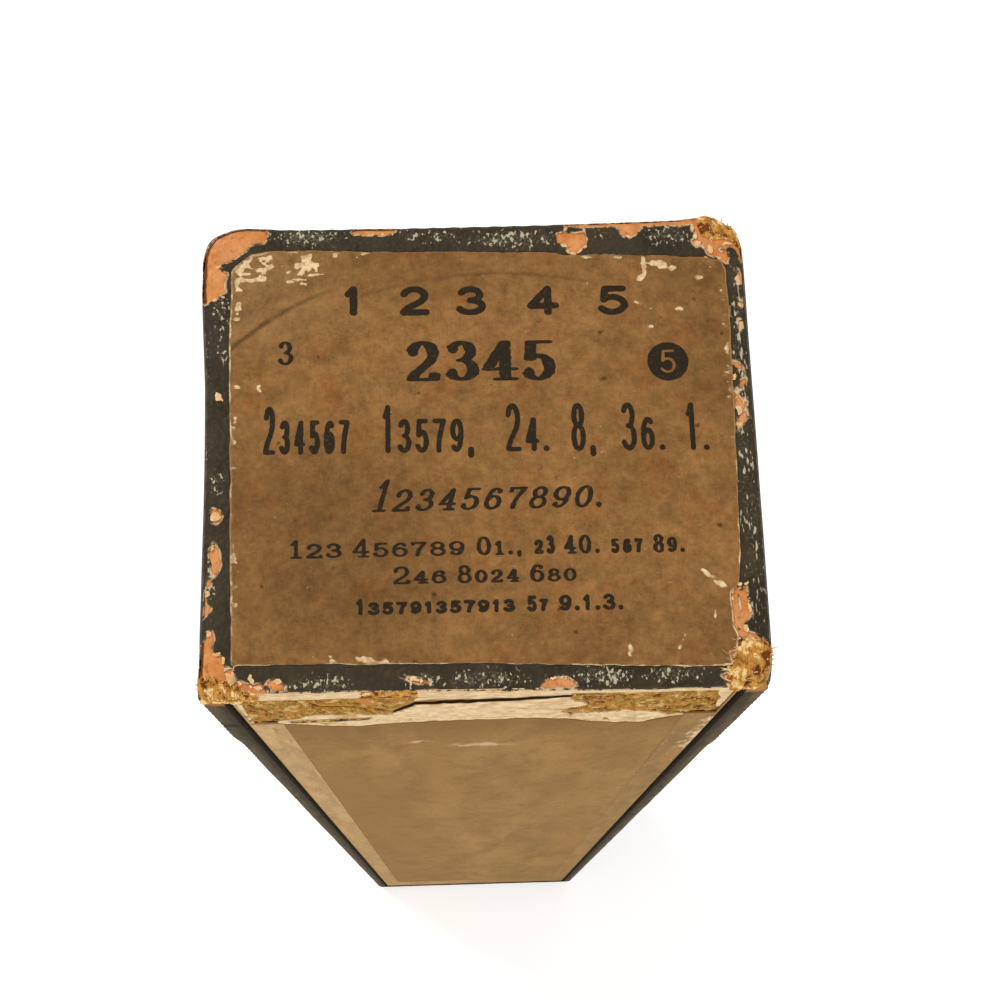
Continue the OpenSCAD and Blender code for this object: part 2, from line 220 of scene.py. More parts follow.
def inside_blob(blob, x, y):
    """Distance in from an ellipse given by its middle, its half sizes and any turn in degrees."""
    mid_x, mid_y, half_x, half_y, *turn = blob
    angle = math.radians(sum(turn))
    cos, sin = math.cos(angle), math.sin(angle)
    along = ((x - mid_x) * cos + (y - mid_y) * sin) / half_x
    across = ((y - mid_y) * cos - (x - mid_x) * sin) / half_y
    return (1 - np.hypot(along, across)) * min(half_x, half_y)


def inside_box(x, y, low, high):
    """Distance in from an upright rectangle."""
    return np.minimum(np.minimum(x - low[0], high[0] - x), np.minimum(y - low[1], high[1] - y))


def any_of(outlines, blobs, x, y):
    """The highest field of several outlines and blobs, each worked out only near its shape."""
    shapes = []
    for points in outlines:
        shapes.append((inside_outline, points, *np.min(points, axis=0), *np.max(points, axis=0)))
    for blob in blobs:
        mid_x, mid_y, size = blob[0], blob[1], max(blob[2:4])
        shapes.append((inside_blob, blob, mid_x - size, mid_y - size, mid_x + size, mid_y + size))
    value = np.full(x.shape, -REACH)
    for field, shape, low_x, low_y, high_x, high_y in shapes:
        near = (x > low_x - REACH) & (x < high_x + REACH) & (y > low_y - REACH) & (y < high_y + REACH)
        value[near] = np.maximum(value[near], field(shape, x[near], y[near]))
    return value


def everywhere(*places):
    """A field without edges, for points or for lists of coordinates."""
    return np.full(len(places[0]), WELL_IN)


def within(limits, field):
    """A field of two coordinates, cut off at their limits."""
    low, high = zip(*limits)
    return lambda u, v: np.minimum(field(u, v), inside_box(u, v, low, high))


# Cutting sheets out of fields

# Sides of a grid cell that the outline joins, and the corner patterns where it does
CELL_CUTS = (
    ("left", "low", (1, 14, 5)),
    ("low", "right", (2, 13, 10)),
    ("right", "high", (4, 11, 5)),
    ("high", "left", (8, 7, 10)),
    ("left", "right", (3, 12)),
    ("low", "high", (6, 9)),
)


def zero_line(field, xs, ys):
    """Points and edges along which a field on a grid is zero."""
    inside = field > 0
    across = inside[:, 1:] != inside[:, :-1]
    upward = inside[1:, :] != inside[:-1, :]
    j, i = np.nonzero(across)
    share = field[j, i] / (field[j, i] - field[j, i + 1])
    across_points = np.column_stack([xs[i] + share * (xs[i + 1] - xs[i]), ys[j]])
    across_id = np.full(across.shape, -1)
    across_id[j, i] = np.arange(len(j))
    j, i = np.nonzero(upward)
    share = field[j, i] / (field[j, i] - field[j + 1, i])
    upward_points = np.column_stack([xs[i], ys[j] + share * (ys[j + 1] - ys[j])])
    upward_id = np.full(upward.shape, -1)
    upward_id[j, i] = len(across_points) + np.arange(len(j))
    sides = {
        "low": across_id[:-1],
        "high": across_id[1:],
        "left": upward_id[:, :-1],
        "right": upward_id[:, 1:],
    }
    weights = (inside[:-1, :-1], inside[:-1, 1:], inside[1:, 1:], inside[1:, :-1])
    pattern = sum(corner.astype(int) << k for k, corner in enumerate(weights))
    edges = []
    for first, second, patterns in CELL_CUTS:
        hit = np.isin(pattern, patterns)
        edges.append(np.column_stack([sides[first][hit], sides[second][hit]]))
    return np.vstack([across_points, upward_points]), np.vstack(edges)


def sample(field, xs, ys, x, y):
    """A grid's values at points between its own."""
    i = np.clip(np.searchsorted(xs, x) - 1, 0, len(xs) - 2)
    j = np.clip(np.searchsorted(ys, y) - 1, 0, len(ys) - 2)
    u = np.clip((x - xs[i]) / (xs[i + 1] - xs[i]), 0, 1)
    v = np.clip((y - ys[j]) / (ys[j + 1] - ys[j]), 0, 1)
    low = field[j, i] * (1 - u) + field[j, i + 1] * u
    high = field[j + 1, i] * (1 - u) + field[j + 1, i + 1] * u
    return low * (1 - v) + high * v


def regions(faces, walls):
    """A number for each triangle, the same for those that no wall parts."""
    beside = {}
    for number, (a, b, c) in enumerate(faces.tolist()):
        for edge in ((a, b), (b, c), (c, a)):
            key = (min(edge), max(edge))
            if key not in walls:
                beside.setdefault(key, []).append(number)
    neighbours = [[] for _ in range(len(faces))]
    for pair in beside.values():
        if len(pair) == 2:
            neighbours[pair[0]].append(pair[1])
            neighbours[pair[1]].append(pair[0])
    region = np.full(len(faces), -1)
    count = 0
    for start in range(len(faces)):
        if region[start] >= 0:
            continue
        region[start] = count
        waiting = [start]
        while waiting:
            for other in neighbours[waiting.pop()]:
                if region[other] < 0:
                    region[other] = count
                    waiting.append(other)
        count += 1
    return region


def flat_sheet(field, xs, ys, inner_x, inner_y):
    """Points, triangles and boundary edges of the flat shape where a field is above zero."""
    field = np.where(np.abs(field) < 1e-5, -1e-5, field)
    line, edges = zero_line(field, xs, ys)
    if not len(line):
        return None
    gx, gy = (grid.ravel() for grid in np.meshgrid(inner_x, inner_y))
    margin = 0.35 * min(np.diff(inner_x).min(), np.diff(inner_y).min())
    keep = sample(field, xs, ys, gx, gy) > margin
    points = np.vstack([line, np.column_stack([gx[keep], gy[keep]])])
    found = delaunay_2d_cdt([Vector(p) for p in points.tolist()], edges.tolist(), [], 0, 1e-6, True)
    spots = np.array([tuple(v) for v in found[0]])
    walls = {(min(e), max(e)) for e, source in zip(found[1], found[4]) if source}
    faces = np.array(found[2])
    corners = spots[faces]
    side_a, side_b = corners[:, 1] - corners[:, 0], corners[:, 2] - corners[:, 0]
    area = (side_a[:, 0] * side_b[:, 1] - side_a[:, 1] * side_b[:, 0]) / 2
    faces[area < 0] = faces[area < 0][:, ::-1]
    mid = corners.mean(axis=1)
    weight = sample(field, xs, ys, mid[:, 0], mid[:, 1]) * np.abs(area)
    region = regions(faces, walls)
    kept = np.bincount(region, weights=weight)[region] > 0
    faces = faces[kept]
    used, renumbered = np.unique(faces, return_inverse=True)
    return spots[used], renumbered.reshape(faces.shape)


def rim_of(faces):
    """The edges that only one triangle has, in that triangle's direction."""
    edges = np.vstack([faces[:, [0, 1]], faces[:, [1, 2]], faces[:, [2, 0]]])
    ends = np.sort(edges, axis=1)
    _, first, counts = np.unique(ends, axis=0, return_index=True, return_counts=True)
    return edges[first[counts == 1]]


def cut_sheet(field, xs, ys, inner_x, inner_y, top, low, values=None):
    """A closed sheet where a field is above zero; top and low give its two faces at net points.

    The values are functions of the net points, kept at the sheet's points for its finish.
    """
    flat = flat_sheet(field, xs, ys, inner_x, inner_y)
    if flat is None:
        return None
    spots, faces = flat
    count = len(spots)
    upper = top(spots[:, 0], spots[:, 1])
    lower = low(spots[:, 0], spots[:, 1])
    rim = rim_of(faces)
    a, b = rim[:, 0], rim[:, 1]
    walls = np.vstack([np.column_stack([b, a, a + count]), np.column_stack([b, a + count, b + count])])
    kept = {key: np.tile(function(spots[:, 0], spots[:, 1]), 2) for key, function in (values or {}).items()}
    return np.vstack([upper, lower]), np.vstack([faces, faces[:, ::-1] + count, walls]), kept


def steps(low, high, size):
    """Even places from low to high, about a size apart."""
    return np.linspace(low, high, max(2, round((high - low) / size) + 1))


def steps_to_ends(low, high, coarse, fine):
    """Places from low to high, coarse in the middle and fine near both ends."""
    reach = 2.2
    if high - low <= 2.5 * reach:
        return steps(low, high, fine)
    ends = steps(0, reach, fine)
    return np.concatenate([low + ends[:-1], steps(low + reach, high - reach, coarse), high - ends[::-1][1:]])


def grid_around(low, high, size):
    """A field grid that reaches one cell past both ends."""
    count = max(2, math.ceil((high - low) / size))
    cell = (high - low) / count
    return np.linspace(low - cell, high + cell, count + 3)


def net_sheet(field, grid, inner, place, high, low, values=None):
    """A closed sheet on a net of two coordinates, where field(u, v) is above zero.

    The grid and the inner points are pairs of lists. The heights of the two faces are numbers or functions of
    the net, and place(u, v, height) gives points in space.
    """
    us, vs = grid
    gu, gv = (places.ravel() for places in np.meshgrid(us, vs))

    def face(height):
        def at(u, v):
            return place(u, v, height(u, v) if callable(height) else np.full(len(u), float(height)))

        return at

    cut = field(gu, gv).reshape(len(vs), len(us))
    return cut_sheet(cut, us, vs, *inner, face(high), face(low), values)


# Pieces


def make_piece(name, parts, material, body, stands_for=(), sharp=32):
    """One mesh piece from closed parts in millimetres, riding on a body."""
    parts = [part for part in parts if part is not None]
    offsets = np.cumsum([0] + [len(part[0]) for part in parts])
    verts = np.vstack([part[0] for part in parts]) * MM
    faces = np.vstack([part[1] + start for part, start in zip(parts, offsets)])
    mesh = bpy.data.meshes.new(name)
    mesh.from_pydata(verts.tolist(), [], faces.tolist())
    mesh.update()
    mesh.shade_smooth()
    mesh.set_sharp_from_angle(angle=math.radians(sharp))
    for key in sorted({key for part in parts for key in part[2]}):
        column = np.concatenate([part[2].get(key, np.zeros(len(part[0]))) for part in parts])
        attribute = mesh.attributes.new(key, "FLOAT", "POINT")
        attribute.data.foreach_set("value", column.astype(np.float32))
    mesh.materials.append(material)
    piece = bpy.data.objects.new(name, mesh)
    bpy.context.scene.collection.objects.link(piece)
    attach(piece, body)
    if stands_for:
        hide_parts(*stands_for)
    return piece


def dress_node(node, material):
    """Gives a CAD node its finish."""
    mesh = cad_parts[node].data
    mesh.materials.clear()
    mesh.materials.append(material)


# Shader maths


class Wire:
    """A shader socket that takes part in Python expressions."""

    # numpy's numbers leave the maths to this class
    __array_ufunc__ = None

    def __init__(self, tree, socket):
        self.tree = tree
        self.socket = socket

    def __add__(self, other):
        return self.tree.maths("ADD", self, other)

    def __radd__(self, other):
        return self.tree.maths("ADD", other, self)

    def __sub__(self, other):
        return self.tree.maths("SUBTRACT", self, other)

    def __rsub__(self, other):
        return self.tree.maths("SUBTRACT", other, self)

    def __mul__(self, other):
        return self.tree.maths("MULTIPLY", self, other)

    def __rmul__(self, other):
        return self.tree.maths("MULTIPLY", other, self)

    def __truediv__(self, other):
        return self.tree.maths("DIVIDE", self, other)

    def __pow__(self, other):
        return self.tree.maths("POWER", self, other)

    def __abs__(self):
        return self.tree.maths("ABSOLUTE", self)


class ShaderTree:
    """The node tree of a material or a world, built with short calls."""

    def __init__(self, owner):
        owner.use_nodes = True
        self.tree = owner.node_tree
        self.tree.nodes.clear()

    def node(self, kind, settings=None, sockets=None, output=0):
        """Any node: its settings come first, then its sockets' values or links."""
        made = self.tree.nodes.new(kind)
        for key, value in (settings or {}).items():
            setattr(made, key, value)
        for key, value in (sockets or {}).items():
            self.feed(made.inputs[key], value)
        return Wire(self, made.outputs[output]) if made.outputs else None

    def feed(self, socket, value):
        """Links a wire to a socket, or sets the socket's own value."""
        if isinstance(value, Wire):
            self.tree.links.new(value.socket, socket)
        elif socket.type == "RGBA":
            socket.default_value = (*value, 1)
        else:
            socket.default_value = value

    def maths(self, operation, *values):
        """A Math or Vector Math node, after what goes into it."""
        kind = "ShaderNodeMath"
        if any(isinstance(value, Wire) and value.socket.type == "VECTOR" for value in values):
            kind = "ShaderNodeVectorMath"
            values = [value if isinstance(value, (Wire, tuple)) else (value,) * 3 for value in values]
        return self.node(kind, {"operation": operation}, dict(enumerate(values)))

    def seen_directly(self):
        """1 for camera, glossy and transmission rays, and 0 for the rest."""
        names = ("Is Camera Ray", "Is Glossy Ray", "Is Transmission Ray")
        camera, glossy, through = (self.node("ShaderNodeLightPath", output=name) for name in names)
        return self.maths("MAXIMUM", self.maths("MAXIMUM", camera, glossy), through)


class Finish(ShaderTree):
    """One procedural material, painted coat by coat in millimetres of the part's frame."""

    def __init__(self, name, roughness=0.8, specular=0.08):
        self.material = bpy.data.materials.new(name)
        super().__init__(self.material)
        surface = self.node("ShaderNodeBsdfPrincipled")
        self.shader = surface.socket.node
        self.node("ShaderNodeOutputMaterial", sockets={"Surface": surface})
        self.set("Roughness", roughness)
        self.set("Specular IOR Level", specular)
        place = self.node("ShaderNodeTexCoord", output="Object")
        self.place = self.node("ShaderNodeVectorMath", {"operation": "SCALE"}, {0: place, "Scale": 1 / MM})
        self.x, self.y, self.z = (
            self.node("ShaderNodeSeparateXYZ", sockets={0: self.place}, output=axis) for axis in "XYZ"
        )
        self.tint = None

    def set(self, name, value):
        """Feeds a socket of the surface shader."""
        self.feed(self.shader.inputs[name], value)

    def stretched(self, size):
        """The place, squeezed so that a feature of the given size measures one."""
        if isinstance(size, (int, float)):
            size = (size,) * 3
        return self.place * tuple(1 / value for value in size)

    def noise(self, size, detail=3.0, roughness=0.55, warp=0.0, shift=0.0):
        """Noise from 0 to 1 with features of a size in mm."""
        sockets = {"Vector": self.stretched(size) + shift, "Scale": 1.0}
        sockets.update({"Detail": detail, "Roughness": roughness, "Distortion": warp})
        return self.node("ShaderNodeTexNoise", sockets=sockets)

    def cells(self, size, feature="F1", shift=0.0):
        """Distance to the nearest of scattered points, about a size in mm apart."""
        sockets = {"Vector": self.stretched(size) + shift, "Scale": 1.0}
        return self.node("ShaderNodeTexVoronoi", {"feature": feature}, sockets, output="Distance")

    def span(self, value, low, high):
        """Rises smoothly from 0 at low to 1 at high."""
        sockets = {"Value": value, "From Min": low, "From Max": high}
        return self.node("ShaderNodeMapRange", {"interpolation_type": "SMOOTHSTEP"}, sockets)

    def clouds(self, size, edges, **kind):
        """Soft-edged clouds or specks of a size: where its noise rises from one value to another."""
        return self.span(self.noise(size, **kind), *edges)

    def worn(self, key):
        """A value kept at the mesh's points."""
        return self.node("ShaderNodeAttribute", {"attribute_name": key}, output="Fac")

    def away(self, mid, half=None):
        """Distance from a place on the label end, in mm or as a share of two half sizes."""
        across, up = self.x - mid[0], self.y - mid[1]
        if half:
            across, up = across / half[0], up / half[1]
        return (across**2 + up**2) ** 0.5

    def ring(self, mid, radius, width):
        """A soft ring mark on the label: 1 on the ring's line."""
        return 1 - self.span(abs(self.away(mid) - radius), 0.0, width)

    def mix(self, share, first, second):
        """A colour between two others."""
        settings = {"data_type": "RGBA", "clamp_factor": True}
        return self.node("ShaderNodeMix", settings, {0: share, 6: first, 7: second}, output=2)

    def shade(self, tint, amount):
        """A colour made darker or lighter by a share about 1."""
        settings = {"data_type": "RGBA", "blend_type": "MULTIPLY"}
        grey = self.node("ShaderNodeCombineColor", sockets={0: amount, 1: amount, 2: amount})
        return self.node("ShaderNodeMix", settings, {0: 1.0, 6: tint, 7: grey}, output=2)

    def ground(self, share, base, dark, light):
        """Starts the colour as two shades of a base, mixed by a share."""
        self.tint = self.mix(share, scaled(base, dark), scaled(base, light))

    def paint(self, share, base, shades):
        """Lays a shade of a colour over the colour so far."""
        self.tint = self.mix(share, self.tint, scaled(base, shades))

    def done(self, height, depth, strength=1.0):
        """Ends a finish: its colour, and bumps by a height from 0 to 1 over a depth in mm."""
        self.set("Base Color", self.tint)
        sockets = {"Height": height, "Distance": depth * MM, "Strength": strength}
        self.set("Normal", self.node("ShaderNodeBump", sockets=sockets))
        return self.material


def scaled(tint, shares):
    """A colour, or the chosen colour of a name, with its parts scaled by a share each or one for all."""
    if isinstance(tint, str):
        tint = getattr(bpy.context.scene.roll_colours, tint)
    return tuple(min(1.0, value * share) for value, share in zip(tint, np.broadcast_to(shares, 3)))


def scaled_size(size, share):
    """A feature size made larger or smaller."""
    return tuple(value * share for value in size)


# Finishes


def label_finish():
    """Aged brown paper: mottled, foxed, darker at its left and top, with two faint ring marks."""
    f = Finish("label_face_finish", roughness=0.8, specular=0.1)
    cloud = f.noise(7.0, detail=5, roughness=0.65, warp=0.5)
    f.ground(f.span(cloud, 0.36, 0.64), "label", (0.92, 0.91, 0.9), (1.2, 1.2, 1.24))
    red = f.clouds(4.0, (0.5, 0.7), detail=5, roughness=0.65, shift=7.3)
    f.paint(red * 0.85, "label", (1.04, 0.84, 0.74))
    olive = f.clouds(3.6, (0.52, 0.68), detail=4, roughness=0.6, shift=3.1)
    f.paint(olive * 0.6, "label", (0.86, 0.92, 0.84))
    upper = f.span(f.y + 3 * f.noise(5.0, shift=3.7), 10.0, 17.0)
    left = (1 - f.span(f.x + 3 * f.noise(6.0, shift=1.7), -25.0, -12.0)) * (1 - 0.75 * upper)
    stain = 1 - f.span(f.away((-13.0, -10.0), (13.0, 13.0)) + 0.4 * f.noise(6.0, shift=33.0), 0.5, 1.4)
    side = 1 - f.span(f.away((-27.0, -3.0), (7.0, 12.0)) + 0.3 * f.noise(4.0, shift=37.0), 0.4, 1.3)
    right = f.span(f.x + 3 * f.noise(5.0, shift=27.0), 18.0, 27.0) * f.span(f.y, 0.0, 5.0)
    top = f.span(f.y + 3 * f.noise(7.0, shift=9.1), 16.0, 25.0)
    low = 1 - f.span(f.y + 4 * f.noise(8.0, shift=5.9), -22.0, -8.0)
    edge = stain * 0.45 + side * 0.42 + right * 0.36 + top * 0.22 + low * 0.22
    f.paint(edge, "label_dark", (1.12, 1.16, 1.16))
    veil = (1 - f.span(f.x + 4 * f.noise(7.0, shift=2.9), -21.0, -9.0)) * upper
    f.paint(veil * 0.75, "label", (1.12, 1.22, 1.45))
    past = f.span(f.away((-4.0, -12.0)), 32.4, 36.0) * veil
    f.paint(past * 0.4, "label", (0.9, 1.02, 1.1))
    corner = left + veil
    marks = f.ring((-4.0, -12.0), 32.0, 0.45) * corner + f.ring((2.0, -24.0), 43.5, 0.4) * top
    marks = marks + f.ring((-6.0, -14.0), 34.6, 1.1) * corner * 0.5
    f.paint(marks * f.clouds(3.0, (0.2, 0.5), shift=2.2) * 0.7, "label_dark", (0.9, 0.94, 0.9))
    fibres = f.noise((0.9, 0.25, 1.0), roughness=0.75, shift=4.4)
    crossed = f.noise((0.25, 0.8, 1.0), roughness=0.75, shift=8.8)
    grain = f.noise(0.34, detail=2, roughness=0.7, shift=15.5)
    blotch = f.noise(1.4, detail=4, roughness=0.75, shift=21.0)
    f.tint = f.shade(f.tint, 0.4 * fibres + 0.45 * crossed + 0.3 * grain + 1.35 * blotch - 0.27)
    specks = f.clouds(0.8, (0.73, 0.79), detail=2, roughness=0.6, shift=6.1)
    f.paint(specks * 0.65, "label_dark", 0.7)
    dots = 1 - f.span(f.cells(3.4, shift=16.1) + 0.25 * f.noise(0.5, detail=2), 0.16, 0.23)
    f.paint(dots * f.clouds(7.0, (0.42, 0.5), detail=1, shift=11.0) * 0.85, "label_dark", 0.7)
    pale = f.clouds(0.7, (0.74, 0.8), detail=2, roughness=0.6, shift=14.6) * 0.6
    scuffs = f.clouds((1.2, 0.5, 1.0), (0.68, 0.76), roughness=0.7, shift=31.0)
    pale = pale + scuffs * 0.3
    f.paint(pale, "cream", (0.85, 0.8, 0.7))
    rub = 1 - f.span(f.worn("edge"), 0.0, 0.14)
    f.paint(rub * f.clouds(1.1, (0.42, 0.7), shift=17.0) * 0.5, "label", (1.5, 1.55, 1.8))
    return f.done(fibres * 0.5 + grain * 0.5, 0.05, 0.8)


def ink_finish():
    """Letterpress ink, thinner in places so that the paper shows."""
    f = Finish("ink_finish", roughness=0.7, specular=0.12)
    thin = f.clouds(0.4, (0.52, 0.78), roughness=0.75)
    patchy = f.clouds(3.0, (0.35, 0.7), detail=2, shift=3.3)
    f.tint = f.mix(thin * (0.2 + 0.5 * patchy), scaled("ink", 1.0), scaled("label", 0.6))
    return f.done(f.noise(0.3, detail=2), 0.02, 0.6)


def coat_finish():
    """Black pebbled cover paper, lightened a little on every pebble top as a painted highlight and rubbed
    pale on its high spots in worn places, with torn edges that show its body.
    """
    f = Finish("coat_finish", roughness=0.6, specular=0.13)
    pebble = f.cells(0.5, feature="SMOOTH_F1")
    high = 1 - f.span(pebble, 0.1, 0.62)
    cloud = f.noise(4.0, detail=4)
    f.ground(f.span(cloud, 0.3, 0.7), "coat", (0.7, 0.66, 0.6), 1.3)
    brown = f.clouds(2.2, (0.55, 0.7), detail=4, roughness=0.7, shift=12.0)
    f.paint(brown * 0.5, "rim", (0.8, 0.66, 0.5))
    # Painted highlight: every pebble top is a little lighter, as where light catches it.
    f.paint(high * 0.3, "coat", 1.9)
    rub = f.worn("rub")
    specks = f.noise((0.34, 0.54, 0.54), detail=1, roughness=0.6, shift=2.7)
    streaks = f.noise((0.3, 1.1, 0.54), detail=1, roughness=0.6, shift=41.7)
    specks = specks + f.span(f.x, 25.3, 25.9) * (streaks - specks)
    few = f.span(specks + 0.16 * rub, 0.67, 0.74) * f.span(rub, 0.02, 0.3)
    haze = f.span(f.noise(0.3, detail=2, roughness=0.7, shift=5.0) + 0.2 * rub, 0.6, 0.85)
    f.paint(haze * f.span(rub, 0.02, 0.5) * 0.4, "rubbed", 0.8)
    f.paint(few * 0.95, "rubbed", (1.2, 1.16, 1.1))
    scuffs = f.clouds((1.3, 1.3, 22.0), (0.58, 0.7), detail=5, roughness=0.7, warp=0.4, shift=71.0)
    scuffed = f.clouds((24.0, 24.0, 60.0), (0.46, 0.62), detail=2, shift=73.0)
    scuffed = scuffed * (1 - f.span(f.z, TOP - 9, TOP - 3))
    f.paint(scuffs * scuffed * (0.25 + 0.5 * high), "rubbed", 0.75)
    torn = 1 - f.span(f.worn("edge"), 0.03, 0.22)
    torn = torn * f.clouds(0.9, (0.42, 0.56), roughness=0.7, shift=19.0)
    f.paint(torn * 0.85, "cream", (0.95, 0.84, 0.74))
    f.set("Roughness", 0.55 + 0.25 * few)
    return f.done(high * 0.8 + f.noise(0.2, detail=2) * 0.2, 0.09, 0.9)


def cover_finish():
    """The orange body of the cover paper, fibrous and smudged where its coat is gone, and darker on its fold
    at the label end: painted shade with some grime.
    """
    f = Finish("cover_finish", roughness=0.88, specular=0.1)
    cloud = f.noise(1.8, detail=4, roughness=0.6)
    f.ground(f.span(cloud, 0.3, 0.7), "cover", (0.86, 0.72, 0.6), (1.1, 1.14, 1.2))
    pink = f.clouds(6.0, (0.45, 0.6), detail=2, shift=23.0)
    f.paint(pink * 0.5, "cover", (1.04, 1.12, 1.7))
    grain = f.noise((0.5, 0.5, 0.14), roughness=0.7, shift=5.5)
    streaks = f.noise((0.3, 1.3, 1.3), roughness=0.7, shift=35.0)
    f.tint = f.shade(f.tint, 0.55 + 0.4 * grain + 0.5 * streaks)
    dirt = f.clouds(0.7, (0.55, 0.71), roughness=0.7, shift=9.9)
    f.paint(dirt * 0.6, "cover", (0.42, 0.3, 0.22))
    fold = f.worn("fold")
    # Painted shade with some grime: on the left half the cover darkens where it folds over the label end's
    # edge and turns away from the light.
    fold_shade_and_grime = 1 - f.span(fold + 0.7 * f.noise(1.6, shift=44.0), 0.55, 0.85)
    fold_shade_and_grime = fold_shade_and_grime * f.span(fold, -7.0, -4.0) * (1 - f.span(f.x, 2.0, 8.0))
    f.paint(fold_shade_and_grime * 0.9, "cover", (0.14, 0.08, 0.07))
    return f.done(grain * 0.5 + streaks * 0.5, 0.1, 0.9)


def board_finish(name, size=(1.4, 0.5, 0.5), torn=False, tone=1.0, pitted=0.85, bright=0.5):
    """Yellow strawboard: long fibres, pale straw and dark pits; torn board gets painted highlights on its
    ridges and painted shade in its hollows.
    """
    base = scaled("board", tone)
    f = Finish(name, roughness=0.92)
    fibres = f.noise(size, detail=4, roughness=0.75, warp=0.5)
    f.ground(f.span(fibres, 0.32, 0.66), base, (0.62, 0.52, 0.42), (1.25, 1.3, 1.35))
    straw = f.clouds(scaled_size(size, 0.8), (0.54, 0.68), roughness=0.7, shift=3.7)
    f.paint(straw * 0.75, "cream", (1.05, 0.96, 0.7))
    orange = f.clouds(scaled_size(size, 2.5), (0.5, 0.64), shift=27.0)
    f.paint(orange * 0.4, "cover", (0.95, 0.9, 0.6))
    pits = f.clouds(scaled_size(size, 0.7), (0.58, 0.68), roughness=0.7, shift=8.1)
    f.paint(pits * pitted, base, (0.16, 0.09, 0.05))
    height = fibres * 0.4 + straw * 0.6
    if torn:
        lie = f.worn("rise")
        strands = 1.1 * (f.noise(scaled_size(size, 0.75), roughness=0.65, shift=12.7, warp=0.9) - 0.5)
        # Painted highlight: pale straw on the torn board's ridges.
        pale = [share + 0.4 * bright for share in (0.84, 0.74, 0.42)]
        f.paint(f.span(lie + strands, 0.66, 0.84) * bright, "cream", pale)
        # Painted shade: the torn board goes dark in its hollows, slits and crack.
        hollow_shade = 1 - f.span(lie + strands, 0.14, 0.38)
        f.paint(hollow_shade * pitted * 1.2, "cover", (0.2, 0.1, 0.06))
    return f.done(height, 0.14, 1.0)


def cream_finish(name, dirt, size=(1.1, 0.4, 0.4), soiled_and_shaded=False):
    """Soft cream paper with torn fibres, soiled in places, and painted shadow in the gaps marked on its
    sheet.
    """
    f = Finish(name, roughness=0.9)
    fibres = f.noise(size, detail=4, roughness=0.7)
    f.ground(f.span(fibres, 0.32, 0.66), "cream", (0.78, 0.68, 0.56), (1.08, 1.06, 1.02))
    soil = f.clouds(scaled_size(size, 2.4), (0.5, 0.7), detail=4, roughness=0.65, shift=6.6)
    f.paint(soil * dirt, "tan", (1.1, 1.0, 0.9))
    pits = f.clouds(scaled_size(size, 0.9), (0.64, 0.74), roughness=0.7, shift=18.1)
    f.paint(pits * dirt, "tan", (0.5, 0.42, 0.34))
    # Painted shadow: the value kept at the sheet's points darkens its crack and its slit nearly to black.
    if soiled_and_shaded:
        f.paint(f.worn("soil"), "tan", (0.12, 0.09, 0.07))
    return f.done(fibres, 0.06, 0.8)


def scrap_finish():
    """Torn scraps: pale and fibrous, yellowed in places."""
    f = Finish("scrap_finish", roughness=0.9)
    fibres = f.noise(0.5, roughness=0.7)
    f.ground(f.span(fibres, 0.3, 0.7), "cream", (0.8, 0.62, 0.46), (1.1, 1.06, 0.98))
    warm = f.clouds(2.5, (0.45, 0.6), detail=2, shift=12.0)
    f.paint(warm * 0.55, "cover", (1.12, 1.2, 1.3))
    return f.done(fibres, 0.06, 0.8)


def straw_finish():
    """Loose fibres: straw, orange and cream."""
    f = Finish("straw_finish", roughness=0.8, specular=0.15)
    pale = f.clouds(0.7, (0.4, 0.6), detail=1)
    f.tint = f.mix(pale, scaled("board", 1.15), scaled("cream", (1.2, 1.1, 0.84)))
    f.paint(f.clouds(0.9, (0.5, 0.6), detail=1, shift=9.0) * 0.8, "cover", (0.85, 0.72, 0.6))
    return f.done(f.noise((0.1, 0.1, 0.4), detail=1), 0.02, 0.5)


def core_finish():
    """The label's pale body: bright where its face has flaked off, soiled along the label's edge."""
    f = Finish("label_core_finish", roughness=0.9)
    fibres = f.noise(0.6, detail=4, roughness=0.7)
    f.ground(f.span(fibres, 0.34, 0.64), "cream", (0.66, 0.56, 0.42), (1.08, 1.04, 0.98))
    patchy = f.noise(2.4, shift=4.0) + 0.3 * f.span(f.x, 20.0, 25.0) * f.span(f.y, -4.0, 4.0)
    soiled_and_shaded = (1 - f.span(f.worn("edge"), 0.0, 0.5)) * f.span(patchy, 0.38, 0.54)
    f.paint(soiled_and_shaded * 0.88, "label", (1.05, 1.1, 1.1))
    return f.done(fibres, 0.05, 0.8)


def rim_finish():
    """Worn paper over the lid's rim: painted dark towards the inside of its walls as shade, orange at the
    label end, with one crack.
    """
    f = Finish("rim_finish", roughness=0.85, specular=0.1)
    wear = f.noise((1.4, 1.4, 5.0), detail=4, roughness=0.6)
    f.ground(f.span(wear, 0.3, 0.68), "rim", (0.52, 0.49, 0.4), (1.12, 1.1, 1.04))
    bare = f.clouds((0.7, 0.7, 4.0), (0.62, 0.74), shift=4.4)
    f.paint(bare * 0.35, "rim", (1.9, 1.7, 1.5))
    # Painted shade: the rim's paper goes nearly black towards the inside of the walls, where shade falls.
    inside_shade = 1 - f.span(abs(f.x) + 0.4 * f.noise((1.0, 1.0, 6.0), detail=2), WALL_X, WALL_X + 1.5)
    f.paint(inside_shade * 0.85, "rim", 0.16)
    lump = f.span(f.z + 3 * f.noise(1.5), 326.0, 329.0)
    f.paint(lump * 0.8, "cover", (0.8, 0.75, 0.7))
    crack_line = 1 - f.span(abs(f.z - 313.5 + 2 * f.noise(0.8, detail=2)), 0.5, 1.5)
    f.paint(crack_line * (1 - f.span(f.x, -1.0, 1.0)) * 0.9, "rim", 0.12)
    return f.done(wear, 0.08, 0.8)


